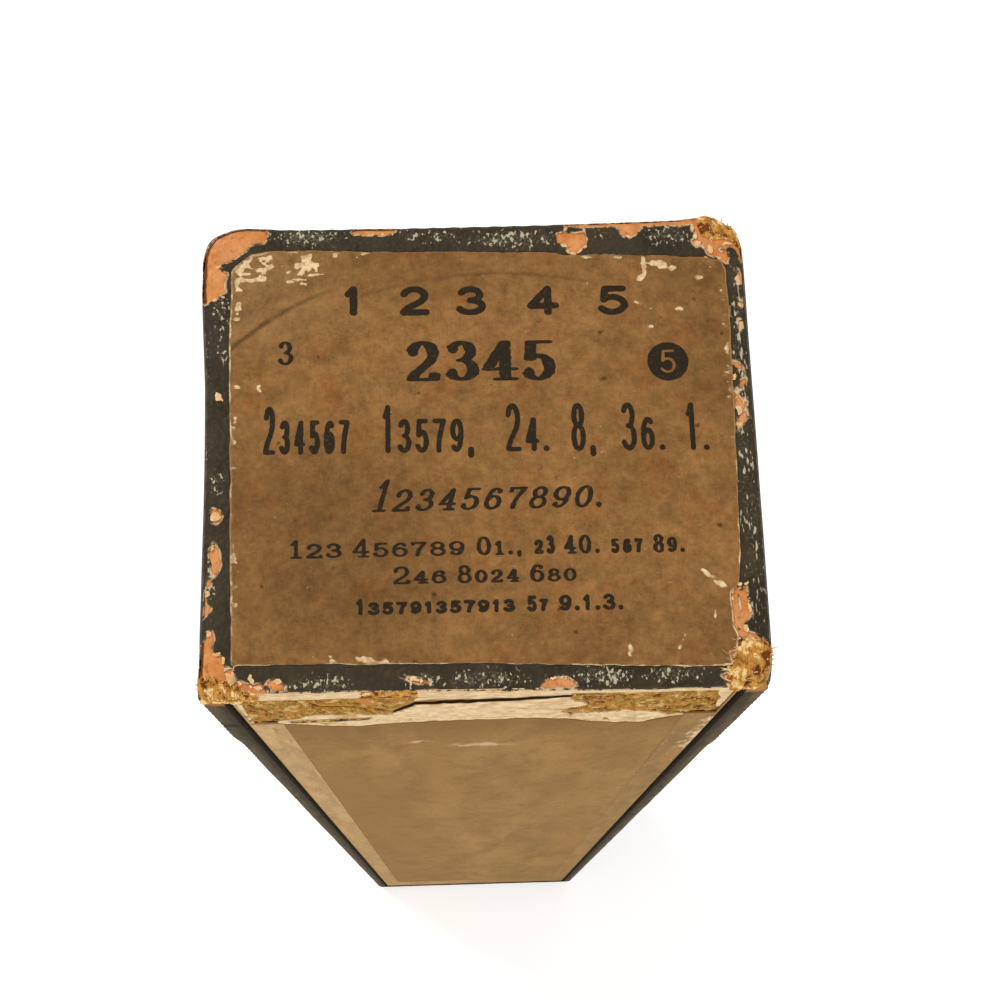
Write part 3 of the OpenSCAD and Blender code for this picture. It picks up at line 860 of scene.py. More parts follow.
def tan_finish(name, base="tan", streaks=1.0):
    """Tan paper, handled and smudged in soft clouds along the box."""
    f = Finish(name, roughness=0.82)
    cloud = f.noise((8.0, 8.0, 34.0), detail=5, roughness=0.6, warp=0.4)
    f.ground(f.span(cloud, 0.34, 0.66), base, (0.8, 0.8, 0.77), (1.16, 1.15, 1.16))
    green = f.clouds((10.0, 10.0, 120.0), (0.4, 0.64), detail=2, shift=4.2)
    f.paint(green * 0.5 * streaks, base, (0.92, 1.03, 0.98))
    ruddy = f.clouds((8.0, 8.0, 100.0), (0.46, 0.68), shift=14.2)
    f.paint(ruddy * 0.4 * streaks, base, (1.02, 0.88, 0.78))
    smudge = f.clouds((3.5, 3.5, 7.0), (0.5, 0.7), detail=5, roughness=0.65, shift=1.9)
    f.paint(smudge * 0.5, base, (0.68, 0.62, 0.52))
    bright = f.clouds((3.0, 3.0, 4.0), (0.6, 0.76), detail=4, roughness=0.6, shift=41.9)
    f.paint(bright * 0.5 * streaks, base, (1.4, 1.4, 1.5))
    grain = f.noise((0.5, 0.5, 1.1), detail=4, roughness=0.75, shift=7.7)
    f.tint = f.shade(f.tint, 0.7 + 0.6 * grain)
    if streaks >= 1:
        near_end_marks(f)
    return f.done(grain * 0.6 + f.noise(1.3, detail=2) * 0.4, 0.05, 0.6)


def near_end_marks(f):
    """Marks on the tray's underside: two pale scuffs near the label end, painted shade over the left side
    further from it, and a darker band along the torn edge that is painted shadow and soil.
    """
    for mid_x, mid_z, half_x, half_z in SCUFFS:
        across = 1 - f.span(abs(f.x - mid_x), half_x * 0.3, half_x)
        bend = abs(f.z - mid_z + 5 * f.noise((1.6, 1.6, 3.0), roughness=0.7) - 2.5)
        along = 1 - f.span(bend, 0.0, half_z * 0.6)
        patchy = f.clouds((1.4, 1.4, 2.4), (0.36, 0.6), roughness=0.7, shift=50.0)
        f.paint(across * along * patchy * 0.7, "cream", (0.86, 0.82, 0.76))
    shaded = 1 - f.span(f.x + 5 * f.noise((6.0, 6.0, 20.0)), -20.0, 0.0)
    f.paint(shaded * (1 - f.span(f.z, 240.0, 300.0)) * 0.6, "tan", (0.84, 0.78, 0.68))
    # Painted shadow and soil: a darker band along the torn edge of the tan face.
    soiled_and_shaded = f.span(f.z + 8 * f.noise((5.0, 5.0, 5.0), shift=5.0), TORN - 16, TORN + 2)
    f.paint(soiled_and_shaded * 0.6, "tan", (0.66, 0.6, 0.5))


def side_wrap_finish():
    """The tan paper's turned edges: paler on one side, worn to cream near the label end."""
    f = Finish("tray_side_finish", roughness=0.82)
    left = 1 - f.span(f.x + 10 * f.noise(9.0, shift=3.0) - 5, -16.0, 16.0)
    f.ground(left, "strip", (0.76, 0.72, 0.58), (1.3, 1.34, 1.44))
    cloud = f.noise((3.0, 3.0, 14.0), detail=5, roughness=0.65, warp=0.4)
    f.tint = f.mix(f.span(cloud, 0.34, 0.66), f.shade(f.tint, 0.8), f.shade(f.tint, 1.12))
    f.paint((1 - f.span(f.z, 130.0, 290.0)) * 0.4, "strip", (0.86, 0.76, 0.64))
    smudge = f.clouds((1.4, 1.4, 7.0), (0.52, 0.72), detail=4, roughness=0.65, shift=1.9)
    near = f.span(f.z, 270.0, 310.0)
    f.paint(smudge * (0.3 + 0.4 * near), "strip", (0.66, 0.6, 0.52))
    torn = f.noise((1.0, 1.0, 3.0), detail=4, roughness=0.7, shift=8.3)
    outer = f.span(f.x, 23.4, 25.6) * f.span(f.z, 276.0, 292.0) * (1 - f.span(f.z, 306.0, 312.0))
    below = 1 - f.span(f.y, UNDER + 0.3, UNDER + 1.5)
    crumbly = f.span(torn + 0.24 * outer * below, 0.6, 0.82)
    f.paint(crumbly * (0.3 + 0.55 * below), "cream", (1.0, 0.96, 0.9))
    grain = f.noise((0.5, 0.5, 1.1), detail=4, roughness=0.75, shift=7.7)
    f.tint = f.shade(f.tint, 0.75 + 0.5 * grain)
    to_side, to_under = TRAY_HIGH[0] - abs(f.x), f.y - UNDER
    to_end = f.maths("MINIMUM", f.z - TRAY_LOW[2], TRAY_END - f.z)
    fold = f.maths("MINIMUM", to_side + to_under, f.maths("MINIMUM", to_side, to_under) + to_end)
    rubbed = 1 - f.span(
        fold + 1.3 * f.noise((1.6, 1.6, 5.0), detail=4, roughness=0.65, shift=61.0), 0.55, 1.1
    )
    f.paint(rubbed * 0.6, "cream", (0.92, 0.86, 0.76))
    return f.done(grain, 0.05, 0.6)


def wood_finish(name, base, grain_size, contrast=1.0):
    """Turned wood with growth lines and pores along its grain, soiled by handling."""
    f = Finish(name, roughness=0.5, specular=0.25)
    grain = f.noise(grain_size, detail=4, roughness=0.6, warp=0.5)
    lines = f.span(abs(f.noise(scaled_size(grain_size, 0.8), detail=2, shift=31.0) - 0.5), 0.0, 0.05)
    f.ground(f.span(grain, 0.3, 0.7), base, (0.66, 0.6, 0.52), 1.2)
    f.paint((1 - lines) * 0.45 * contrast, base, (0.5, 0.44, 0.36))
    pores = f.clouds(scaled_size(grain_size, 0.24), (0.58, 0.7), detail=2, shift=5.0)
    f.paint(pores * 0.6 * contrast, base, (0.36, 0.3, 0.24))
    soil = f.clouds(6.0, (0.48, 0.68), shift=17.0)
    f.paint(soil * 0.35, base, (0.5, 0.46, 0.42))
    f.set("Roughness", 0.45 + 0.2 * grain + 0.2 * pores)
    return f.done(lines * 0.6 - pores, 0.05, 0.6)


def metal_finish(name, tint, roughness=0.4, rust=0.5):
    """Dulled metal under a brown film of tarnish, with fine scratches and specks of rust."""
    f = Finish(name, specular=0.4)
    film = f.clouds(5.0, (0.35, 0.7), detail=4, warp=0.4)
    scratches = f.noise((0.1, 2.4, 2.4), detail=2, shift=6.0)
    specks = f.clouds(0.8, (0.6, 0.7), roughness=0.65, shift=8.0)
    f.ground(film * 0.6, tint, 1.0, (0.55, 0.48, 0.38))
    f.paint(specks * rust, "board", (0.32, 0.2, 0.14))
    f.set("Metallic", 1 - 0.3 * film - 0.6 * rust * specks)
    f.set("Roughness", roughness + 0.12 * film + 0.12 * scratches + 0.25 * specks)
    return f.done(scratches * 0.4 + specks * 0.6, 0.015, 0.6)


def leader_finish(middle, half):
    """The leader's aged paper, darker towards its two long edges."""
    f = Finish("leader_finish", roughness=0.7, specular=0.25)
    f.ground(f.clouds((14.0, 14.0, 30.0), (0.35, 0.65), detail=4), "manila", (0.86, 0.82, 0.74), 1.06)
    to_edge = f.span(abs(f.z - middle), half - 9, half)
    f.paint(to_edge * 0.45, "manila", (0.6, 0.52, 0.4))
    grain = f.noise((0.4, 0.4, 0.7), roughness=0.7)
    f.tint = f.shade(f.tint, 0.92 + 0.16 * grain)
    return f.done(grain, 0.03, 0.5)


# The lid's outside, as flat nets on a sharp box: an origin, two directions and their limits

FACES = {
    "label_end": ((0, 0, TOP), (1, 0, 0), (0, 1, 0), (-HALF_W, HALF_W), (-HALF_D, HALF_D)),
    "far_end": ((0, 0, 0), (-1, 0, 0), (0, 1, 0), (-HALF_W, HALF_W), (-HALF_D, HALF_D)),
    "left": ((-HALF_W, 0, 0), (0, 0, 1), (0, 1, 0), (0, TOP), (-HALF_D, HALF_D)),
    "right": ((HALF_W, 0, 0), (0, 0, -1), (0, 1, 0), (-TOP, 0), (-HALF_D, HALF_D)),
    "top": ((0, HALF_D, 0), (0, 0, 1), (1, 0, 0), (0, TOP), (-HALF_W, HALF_W)),
    "rim": ((0, -HALF_D, 0), (1, 0, 0), (0, 0, 1), (-HALF_W, HALF_W), (0, TOP)),
}

# Corners of the lid, as signs along each axis, and how much each is blunted along its edges
BLUNT_CORNERS = {
    (-1, 1, 1): 3.6,
    (1, 1, 1): 3.7,
    (-1, -1, 1): 2.4,
    (1, -1, 1): 3.2,
    (-1, 1, -1): 1.4,
    (1, 1, -1): 1.4,
    (-1, -1, -1): 1.3,
    (1, -1, -1): 1.3,
}
BLUNT_SOFT = 0.7


def net_points(face, u, v):
    """Points on the sharp box for net coordinates on one of its faces."""
    origin, along, up = (np.array(value, float) for value in FACES[face][:3])
    return origin + np.multiply.outer(u, along) + np.multiply.outer(v, up)


# How far the worn label end may spread past the box, in mm
PROUD = 0.7
# How far the label end's sides have spread, against the place along each side
LEFT_SPREAD = (
    (-25.5, -22.0, -5.0, 3.0, 8.0, 12.5, 18.0, 22.0, 25.5),
    (0.35, 0.1, 0, 0.1, 0.2, 0.45, 0.75, 0.75, 0.6),
)
RIGHT_SPREAD = ((-25.5, -10.0, 5.0, 25.5), (0.3, 0.45, 0.5, 0.6))
TOP_SPREAD = (
    (-28.5, -24.0, -20.0, -15.0, 0.0, 10.0, 18.0, 22.0, 25.0, 28.5),
    (0.45, 0.4, 0.2, 0.15, 0.15, 0.25, 0.4, 0.5, 0.8, 0.7),
)
# How far the rim of the label end hangs down, against the place across the box
RIM_SPREAD = ((-28.5, -12.0, 0.0, 16.0, 25.0, 28.5), (0.0, 0.0, 0.12, 0.3, 0.28, 0.1))


def smooth(value, low, high):
    """Rises smoothly from 0 at low to 1 at high."""
    share = np.clip((value - low) / (high - low), 0, 1)
    return share * share * (3 - 2 * share)


def spread(points):
    """Sideways shift of the worn label end: its corners have splayed, and the right rim has lifted."""
    x, y, z = points.T
    near = smooth(z, TOP - 26, TOP - 4)
    near_left = np.where(y < -20, smooth(z, TOP - 34, TOP - 26), near)
    near_right = np.where(y < -15, smooth(z, TOP - 45, TOP - 39), near)
    left = np.interp(y, *LEFT_SPREAD) * smooth(-x, 25.6, HALF_W) * near_left
    right = np.interp(y, *RIGHT_SPREAD) * smooth(x, 26.4, HALF_W) * near_right
    top = np.interp(x, *TOP_SPREAD) * smooth(y, 22.8, HALF_D) * near
    rim = np.interp(x, *RIM_SPREAD) * smooth(-y, 23.6, HALF_D) * smooth(z, TOP - 3, TOP - 0.5)
    return np.column_stack([right - left, top - rim, 0 * z])


def clip_to_box(points, proud=0.0):
    """Points kept in the CAD model's box, but for the splayed sides and what stands proud of the end."""
    side = np.array([PROUD, PROUD, proud])
    return np.clip(points, CAD_LOW - side, CAD_HIGH + side)


def lid_point(points, height, proud=0.0):
    """Where a point of the sharp box lies on the folded, worn lid, at a height above its outer face."""
    fold, rim = size_mm("fold"), size_mm("rim")
    low = np.array([-HALF_W + fold, -HALF_D + rim, fold])
    high = np.array([HALF_W - fold, HALF_D - fold, TOP - fold])
    inner = np.clip(points, low, high)
    radii = np.where(points[:, 1:2] < low[1], (fold, rim, fold), fold)
    share = (points - inner) / radii
    share /= np.linalg.norm(share, axis=1)[:, None]
    out = share / radii
    out /= np.linalg.norm(out, axis=1)[:, None]
    dip = size_mm("crumple") * (0.5 + 0.5 * rough(points, 9.0, 5, 2))
    placed = inner + share * radii + out * (height - dip)[:, None]
    for signs, leg in BLUNT_CORNERS.items():
        corner = np.array([signs[0] * HALF_W, signs[1] * HALF_D, TOP if signs[2] > 0 else 0])
        away = np.array(signs) / math.sqrt(3)
        past = (placed - corner) @ away + leg / math.sqrt(3) - height
        share_past = np.clip(0.5 + past / (2 * BLUNT_SOFT), 0, 1)
        pushed = past * share_past + BLUNT_SOFT * share_past * (1 - share_past)
        placed = placed - pushed[:, None] * away
    return clip_to_box(placed + spread(points), proud)


def face_sheet(face, field, high, low, cell, inner, limits=None, proud=0.0, values=None):
    """A sheet of paper on one face of the lid, where field(points) is above zero.

    Its heights are numbers or functions of points too, and inner holds its coarse and its fine size.
    """
    limits = limits or FACES[face][3:]

    def on_net(function):
        return (lambda u, v: function(net_points(face, u, v))) if callable(function) else function

    def place(u, v, height):
        return lid_point(net_points(face, u, v), height, proud)

    grid = [grid_around(*ends, cell) for ends in limits]
    inner = [steps_to_ends(*ends, *inner) for ends in limits]
    kept = {key: on_net(function) for key, function in (values or {}).items()}
    return net_sheet(within(limits, on_net(field)), grid, inner, place, on_net(high), on_net(low), kept)


# Places on the label end where the black coat is gone: outlines and blobs in mm from its middle
BARE_OUTLINES = (
    # Top left corner
    [(-29, 16.6), (-28, 16.7), (-27.2, 17.1), (-26.8, 17.7), (-26.4, 18), (-26.45, 19.2), (-26.3, 20.2),
     (-26.8, 20.45), (-26.9, 21), (-26.1, 21.5), (-25.3, 22.1), (-24.5, 22.8), (-23.9, 23.4),
     (-23.2, 23.6), (-22.6, 23.5), (-22.2, 24), (-22.1, 24.8), (-22.3, 25.2), (-22, 26), (-29, 26)],
    # Top right corner
    [(23.7, 26), (23.8, 24.6), (23.4, 24), (23.9, 23.5), (23.3, 23), (23.9, 22.2), (24.7, 22.6),
     (25, 21.6), (25.6, 21), (26.2, 20.9), (26.9, 20.3), (27.2, 20.9), (27, 21.9), (27.4, 22.4),
     (27.9, 21.7), (28.2, 20.6), (29, 20.2), (29, 26)],
    # Bottom left corner
    [(-29, -20), (-27.9, -19.6), (-27.6, -18.7), (-27.2, -18.7), (-26.9, -19.5), (-27.2, -20.3),
     (-26.8, -21), (-26.2, -21.2), (-25.9, -21.9), (-25.9, -22.8), (-25.2, -22.5), (-24.9, -22.7),
     (-25, -23.9), (-24.2, -23.7), (-23.2, -24.2), (-22, -24.5), (-21.2, -25.1), (-21.5, -26), (-29, -26)],
    # Bottom right corner and the torn edge above it
    [(29, -21.2), (27.9, -20.9), (26.9, -20.3), (26.2, -20), (25.8, -19.4), (26.6, -18.6), (26.8, -17.6),
     (26.5, -16.6), (26.4, -15.3), (25.6, -15.2), (25, -15.5), (24.6, -16.5), (24.9, -17.4), (24.6, -18.4),
     (25, -19.3), (25.3, -20.2), (25.9, -21), (25.2, -21.7), (24.2, -21.9), (24.7, -22.8), (24, -23.3),
     (24.4, -23.9), (23.3, -24.3), (24, -25), (23.7, -26), (29, -26)],
    # Chips along the top
    [(8.9, 24.1), (11.9, 24.1), (12.1, 23.2), (11.6, 22.4), (10.9, 21.7), (10.2, 21.8), (9.8, 22.7),
     (8.9, 23.1)],
    [(15.1, 26), (15.5, 24.4), (16, 23.6), (16.7, 23.5), (17.5, 23.8), (18, 24.4), (17.6, 25), (17.7, 26)],
    [(9.6, 26), (9.9, 24.85), (12, 24.7), (16, 24.65), (20, 24.6), (24, 24.5), (24, 26)],
    [(-13.2, 24.7), (-12.5, 26), (-8.8, 26), (-8.4, 24.8), (-9, 24.3), (-11, 24.2), (-12.9, 24.4)],
    # Chips along the left and the bottom
    [(-28.4, -14.3), (-27.9, -14.8), (-27.7, -15.7), (-27.2, -16.3), (-27.6, -17), (-28.4, -17.4),
     (-28.2, -16)],
    [(5.2, -24.9), (6, -24.4), (6.9, -24.1), (8, -24.2), (9.1, -24.7), (8.4, -25.05), (6.8, -25.15),
     (5.6, -25.05)],
)
BARE_BLOBS = (
    (-27, -6.8, 0.65, 0.75), (-27.3, -6.3, 0.3, 0.35, 40), (-27.1, -10.9, 0.55, 1.2, 10),
    (-26.9, -12.1, 0.5, 0.9, -15), (-27.6, -13.7, 0.35, 0.4), (-20.9, -24.2, 0.85, 0.6, -15),
    (-20.3, -24.5, 0.5, 0.3, 10), (-22.4, -24.4, 0.45, 0.35), (-6.8, -24.1, 1, 0.24, -12),
    (26.9, 4.6, 0.36, 1.2, 28), (27.5, 6.5, 0.24, 0.75, -30), (27.2, 2.5, 0.26, 1, -20),
    (27.2, 8.5, 0.2, 0.5, 35), (27.6, 4.2, 0.2, 0.6, -25), (27.9, 18.6, 0.3, 0.9), (27.7, 13.2, 0.25, 0.5),
    (27.9, 15.6, 0.25, 0.4),
)
# Islands of black that are left inside the bare patches
KEPT_BLOBS = (
    (26.5, 21.9, 0.34, 0.36), (24.95, -15.75, 0.24, 0.42, 10), (25.95, -15.55, 0.3, 0.28),
    (25.75, -17.4, 0.1, 1.4, 4), (25.4, -19.7, 0.25, 0.14),
)
# Scraps of pale paper left on the bare patches and at their edges
SCRAP_OUTLINES = (
    [(-27.25, 7), (-26.5, 6), (-26.5, 5.7), (-27.1, 5.8)],
    [(9.2, 22.9), (9.9, 22.9), (10.3, 21.9), (11.2, 21.9), (11.9, 22.6), (12.2, 23.4), (12, 22.4),
     (10.9, 21.5), (10, 21.7)],
    [(-25.9, -22.9), (-25.3, -22.9), (-24.9, -21.6), (-24.6, -21.5), (-24.8, -23.2), (-24.7, -24.2),
     (-25.2, -24)],
)
SCRAP_BLOBS = (
    (23.6, 24.1, 0.26, 0.5, 20), (24, 22.7, 0.5, 0.3), (23.9, 23.6, 0.2, 0.4), (25.3, 22, 0.34, 0.7),
    (26.3, 20.9, 0.6, 0.16, -35), (25, 20.9, 0.5, 0.14, -25), (27, 22.6, 0.5, 0.16, 10),
    (25.4, 23.6, 1.1, 0.14, 4), (-27.45, -18.9, 0.36, 0.42), (-26.5, -20.95, 0.5, 0.2),
    (-26, -21.7, 0.16, 0.6), (-24.4, -23.85, 0.45, 0.18, -20), (-22.6, -24.5, 0.7, 0.14, -18),
    (-20.6, -23.85, 0.5, 0.16, 10), (-24.9, -25, 0.6, 0.2, 5), (-23.2, -23.5, 0.2, 0.5, 20),
    (-6.9, -24, 0.9, 0.17, -14), (-6.1, -24.3, 0.6, 0.12, 8), (-7.4, -24.4, 0.4, 0.12, 20),
    (26.2, -19.7, 0.26, 0.5, 30), (25.1, -15.3, 0.5, 0.14, -20), (26.1, -15.1, 0.5, 0.14, 10),
    (26.7, -17, 0.14, 0.8), (24.6, -18.4, 0.18, 0.3), (25.3, -20.7, 0.4, 0.2, -40), (25, -16.6, 0.14, 0.6),
    (-27, -6.8, 0.5, 0.5), (-27.7, -14.9, 0.3, 0.5, 20), (27.2, 5.1, 0.4, 0.16, 30), (27, 3.4, 0.2, 0.5),
    (-27.3, -10.2, 0.16, 0.5), (7.2, -24.2, 1.1, 0.12), (-10.8, 24.35, 1.4, 0.1), (16.6, 23.6, 0.5, 0.12),
    (-27, 20.9, 0.18, 0.3), (-27.3, 17.1, 0.8, 0.12, 20), (-22.5, 23.9, 0.3, 0.12, 60),
    (27.8, 18.3, 0.3, 0.75, 5), (27.75, 15.4, 0.3, 0.4), (27.7, 13.1, 0.26, 0.5),
    (26.9, 1.9, 0.3, 0.14, 30), (26.5, 5, 0.2, 0.3), (26.9, 7.2, 0.14, 0.3),
)
# Places where the pebble is rubbed, with how strongly
RUBBED = (
    (-18, 24.2, 3.2, 0.8, 0.85), (-5, 24.1, 2.8, 0.6, 0.6), (4.2, 23.6, 4.4, 0.8, 0.75),
    (20.8, 23.6, 2.2, 0.8, 0.7), (13.5, 24.1, 1.2, 0.5, 0.4), (27.5, 9, 0.5, 9.5, 0.6),
    (27.3, -6, 0.7, 11, 0.45), (-16.5, -24.2, 2.6, 0.7, 0.6), (-6.2, -24.1, 1.8, 0.6, 0.8),
    (0.3, -24.1, 3.6, 0.7, 0.65), (11.8, -24.1, 2.6, 0.7, 0.8), (18.5, -24.1, 2.8, 0.7, 0.65),
    (-26.8, 16, 0.7, 1.2, 0.6), (-26.5, 11, 0.6, 0.9, 0.5), (-27, -3, 0.7, 1.2, 0.5),
    (-27.6, -14.5, 0.5, 2.5, 0.5), (-26.6, 13.5, 0.5, 1, 0.35),
)
# Places where the board itself is frayed open
FRAYED_OUTLINES = (
    # Top right
    [(24, 26), (24.2, 24.9), (24, 24.3), (24.6, 23.6), (25.4, 23.2), (26.2, 23), (26.9, 23.2),
     (27.5, 23.1), (28.1, 22.3), (29, 22), (29, 26)],
    # Bottom left
    [(-29, -23.3), (-28.3, -23), (-27.6, -23.6), (-27, -23.3), (-26.3, -23.9), (-25.6, -23.5),
     (-25, -24.2), (-24.3, -24.3), (-23.6, -24.9), (-22.6, -25.1), (-22.2, -26), (-29, -26)],
    # Bottom right
    [(29, -21.6), (28.2, -21.3), (27.4, -20.8), (26.4, -20.4), (25.9, -20.9), (25.5, -21.5), (24.7, -21.7),
     (24.9, -22.4), (24.2, -22.9), (24.7, -23.5), (23.8, -24), (24.3, -24.6), (23.8, -26), (29, -26)],
    # Bottom edge
    [(-12.9, -26), (-12.2, -25.25), (-10.6, -25.1), (-8.4, -25.2), (-6.9, -25.1), (-6.4, -26)],
)
# Fraction of a millimetre by which wear reaches less far, for each millimetre away from the label end
WEAR_FADE = 0.6
RIM_FADE = 0.25


def end_bare(x, y):
    """How far inside a bare patch a point of the label end is."""
    return np.minimum(any_of(BARE_OUTLINES, BARE_BLOBS, x, y), -any_of((), KEPT_BLOBS, x, y))


def far_corner_bare(points):
    """Wear at the four corners of the far end."""
    away = HALF_W + HALF_D - np.abs(points[:, 0]) - np.abs(points[:, 1]) + np.abs(points[:, 2])
    return 2.6 - 0.8 * away


def fold_bare(points):
    """Wear along the lid's long folds and its far edges, in patches."""
    to_side = HALF_W - np.abs(points[:, 0])
    to_top = np.minimum(HALF_D - points[:, 1], 60)
    to_rim = np.minimum(points[:, 1] + HALF_D, 60)
    to_far = points[:, 2]
    to_label = TOP - points[:, 2]
    fold = np.minimum(to_side + to_top, to_side + 1.4 * to_rim)
    fold = np.minimum(fold, np.minimum(to_far + to_side, to_far + to_top))
    fold = np.minimum(fold, to_label + 0.5 * np.minimum(to_side, to_top) + 1.2)
    patches = rough(points, (7.0, 7.0, 16.0), 31, 3)
    return 1.5 * patches - 0.55 - fold


def coat_gone(points):
    """How far inside a place without black coat each point of the sharp box is."""
    value = np.maximum(far_corner_bare(points), fold_bare(points))
    depth = TOP - points[:, 2]
    near = depth < 7
    end = np.full(len(points), -REACH)
    end[near] = end_bare(points[near, 0], points[near, 1]) - WEAR_FADE * depth[near]
    value = np.maximum(value, end)
    return value + size_mm("ragged") * rough(points, 0.9, 3, 3)


# How far above the rim the black coat ends, against the place across the box
COAT_RIM = ((-28.0, -10.0, 0.0, 12.0, 28.0), (0.42, 0.34, 0.22, 0.06, 0.0))


def coat_left(points):
    """The black coat: everything outside the bare places, and clear of the rim's torn edge."""
    ragged = size_mm("ragged")
    at_rim = points[:, 1] + HALF_D - np.interp(points[:, 0], *COAT_RIM)
    at_rim = at_rim - 0.6 * ragged * rough(points, 1.1, 8, 3)
    at_rim = np.where(points[:, 2] > TOP - 0.5, at_rim, WELL_IN)
    return np.minimum(-coat_gone(points), at_rim)


def under_label(points):
    """The label end outside the middle that the label hides."""
    hidden = inside_box(points[:, 0], points[:, 1], LABEL_LOW[:2] + 2.6, LABEL_HIGH[:2] - 2.6)
    return np.where(points[:, 2] > TOP - 0.5, -hidden, WELL_IN)


def board_frayed(points):
    """How far inside a frayed corner each point is."""
    value = np.full(len(points), -REACH)
    near = points[:, 2] > TOP - 6
    depth = TOP - points[near, 2]
    fade = np.where(points[near, 1] < -HALF_D + 0.01, RIM_FADE, WEAR_FADE)
    value[near] = any_of(FRAYED_OUTLINES, (), points[near, 0], points[near, 1]) - fade * depth
    return value + 0.3 * rough(points, 0.7, 41, 3)


def rub_amount(points):
    """How much the pebble is rubbed: in the chosen places, and in patches near folds."""
    x, y, z = points.T
    on_end = z > TOP - 1.0
    to_side, to_top = HALF_W - np.abs(x), HALF_D - np.abs(y)
    edge = np.where(on_end, np.minimum(to_side, to_top), np.minimum(to_side + to_top, z + to_side))
    near = np.clip(1 - np.maximum(edge, 0) / 2.6, 0, 1)
    patches = np.clip(0.3 + 0.9 * rough(points, (4.0, 4.0, 9.0), 77, 2), 0, 1)
    value = near * patches * np.where(on_end, 0.35, 0.8)
    for mid_x, mid_y, half_x, half_y, strength in RUBBED:
        away = np.hypot((x - mid_x) / half_x, (y - mid_y) / half_y)
        value = np.maximum(value, strength * np.clip(1.6 - away, 0, 1) * on_end)
    return value


def fold_place(points):
    """Distance in from the label end's sharp edges, and below zero past them."""
    x, y, z = points.T
    return np.where(z > TOP - 0.01, np.minimum(HALF_W - np.abs(x), HALF_D - y), z - TOP)


def body_level(points):
    """Height of the orange body: fibrous where it is bare, just under the coat elsewhere."""
    coat = size_mm("coat")
    return np.clip(0.12 * rough(points, (0.7, 1.6, 1.0), 43, 3) - coat - 0.02, -coat - 0.07, -coat - 0.005)


def scrap_left(points):
    """How far inside a scrap of pale paper each point is."""
    value = np.full(len(points), -REACH)
    near = points[:, 2] > TOP - 2
    depth = TOP - points[near, 2]
    value[near] = any_of(SCRAP_OUTLINES, SCRAP_BLOBS, points[near, 0], points[near, 1]) - depth
    return value + 0.34 * rough(points, (0.34, 0.46, 0.4), 47, 3) - 0.04


def scrap_level(points):
    """Height of the scraps, which curl a little at their edges."""
    return np.clip(0.03 + 0.1 * rough(points, 0.7, 49, 2), -0.04, 0.12)


class MUSICROLL_OT_cover(bpy.types.Operator):
    """Makes the lid's cover paper: an orange body and a black pebbled coat with its worn places"""

    bl_idname = "music_roll.cover"
    bl_label = "Cover Paper"

    def execute(self, context):
        skin, coat = size_mm("skin"), size_mm("coat")
        worn = {"rub": rub_amount, "edge": coat_left}
        folded, torn = {"fold": fold_place}, {"edge": scrap_left}
        coat_material, cover_material = coat_finish(), cover_finish()

        def coat_on_end(points):
            return np.minimum(coat_left(points), under_label(points))

        end_coat = face_sheet("label_end", coat_on_end, 0.0, -coat, 0.12, (0.7, 0.35), values=worn)
        end_body = face_sheet("label_end", under_label, body_level, -skin, 0.5, (1.0, 0.3), values=folded)
        scraps = face_sheet("label_end", scrap_left, scrap_level, -coat - 0.02, 0.12, (0.8, 0.3), values=torn)
        make_piece("end_cover_coat", [end_coat], coat_material, "lid", ["label_end_paper"])
        make_piece("end_cover_body", [end_body], cover_material, "lid")
        make_piece("end_paper_scraps", [scraps], scrap_finish(), "lid", sharp=60)
        for name, faces, coat_size, body_size, node in (
            ("lid_cover", ("left", "right", "top"), 2.2, 3.0, "lid_wrap"),
            ("far_cover", ("far_end",), 2.0, 2.0, "far_end_paper"),
        ):
            coats, bodies = [], []
            for face in faces:
                coats.append(face_sheet(face, coat_left, 0.0, -coat, 0.3, (coat_size, 0.4), values=worn))
                sizes = (body_size, 0.4)
                bodies.append(face_sheet(face, everywhere, -coat - 0.01, -skin, 0.6, sizes, values=folded))
            make_piece(name + "_coat", coats, coat_material, "lid", [node])
            make_piece(name + "_body", bodies, cover_material, "lid")
        return {"FINISHED"}


class MUSICROLL_OT_rim(bpy.types.Operator):
    """Makes the lid's rim: worn paper that turns in over the board, and cream paper at the label end"""

    bl_idname = "music_roll.rim"
    bl_label = "Lid Rim"

    def execute(self, context):
        skin = size_mm("skin")
        inner = WALL_X - skin
        turned = []
        # Each wall, its side, and the strip of the rim over it
        for wall, sign, limits in (
            ("side", -1, ((-HALF_W, -inner), (0, TOP))),
            ("side", 1, ((inner, HALF_W), (0, TOP))),
            ("far", 1, ((-inner, inner), (0, WALL_LOW + skin))),
        ):
            turned.append(face_sheet("rim", everywhere, -0.02, -skin, 0.35, (1.6, 0.35), limits))
            turned.append(turn_in_sheet(wall, sign))
        turned.append(turn_in_sheet("label", 1))
        make_piece("rim_turn_in", turned, rim_finish(), "lid")
        make_piece("label_end_rim", cream_rim(), cream_finish("rim_cream_finish", 0.3), "lid")
        return {"FINISHED"}


def turn_in_sheet(wall, sign):
    """Cover paper pasted to the inside of a wall, with a hand-cut edge."""
    depth = 12.0
    limits = (WALL_LOW, WALL_HIGH) if wall == "side" else (-WALL_X, WALL_X)
    us, vs = grid_around(*limits, 0.8), grid_around(-HALF_D + 0.05, -HALF_D + depth, 0.4)

    def field(u, v):
        wander = 0.5 * rough_at(u, 0, 0, 22.0, 61 + sign, 2)
        return inside_box(u, v, (limits[0], vs[1]), (limits[1], vs[-2] - 0.6)) + wander * (v > -HALF_D + 6)

    def place(u, v, height):
        if wall == "side":
            return np.column_stack([sign * (WALL_X - height), v, u])
        return np.column_stack([u, v, WALL_LOW + height if wall == "far" else WALL_HIGH - height])

    inner = steps(*limits, 6.0), steps(vs[1], vs[-2], 2.0)
    verts, faces, values = net_sheet(field, (us, vs), inner, place, size_mm("skin"), 0.02)
    # On these two walls the net is left-handed, so its triangles are turned over
    if wall == "label" or (wall == "side" and sign < 0):
        faces = faces[:, ::-1]
    return verts, faces, values


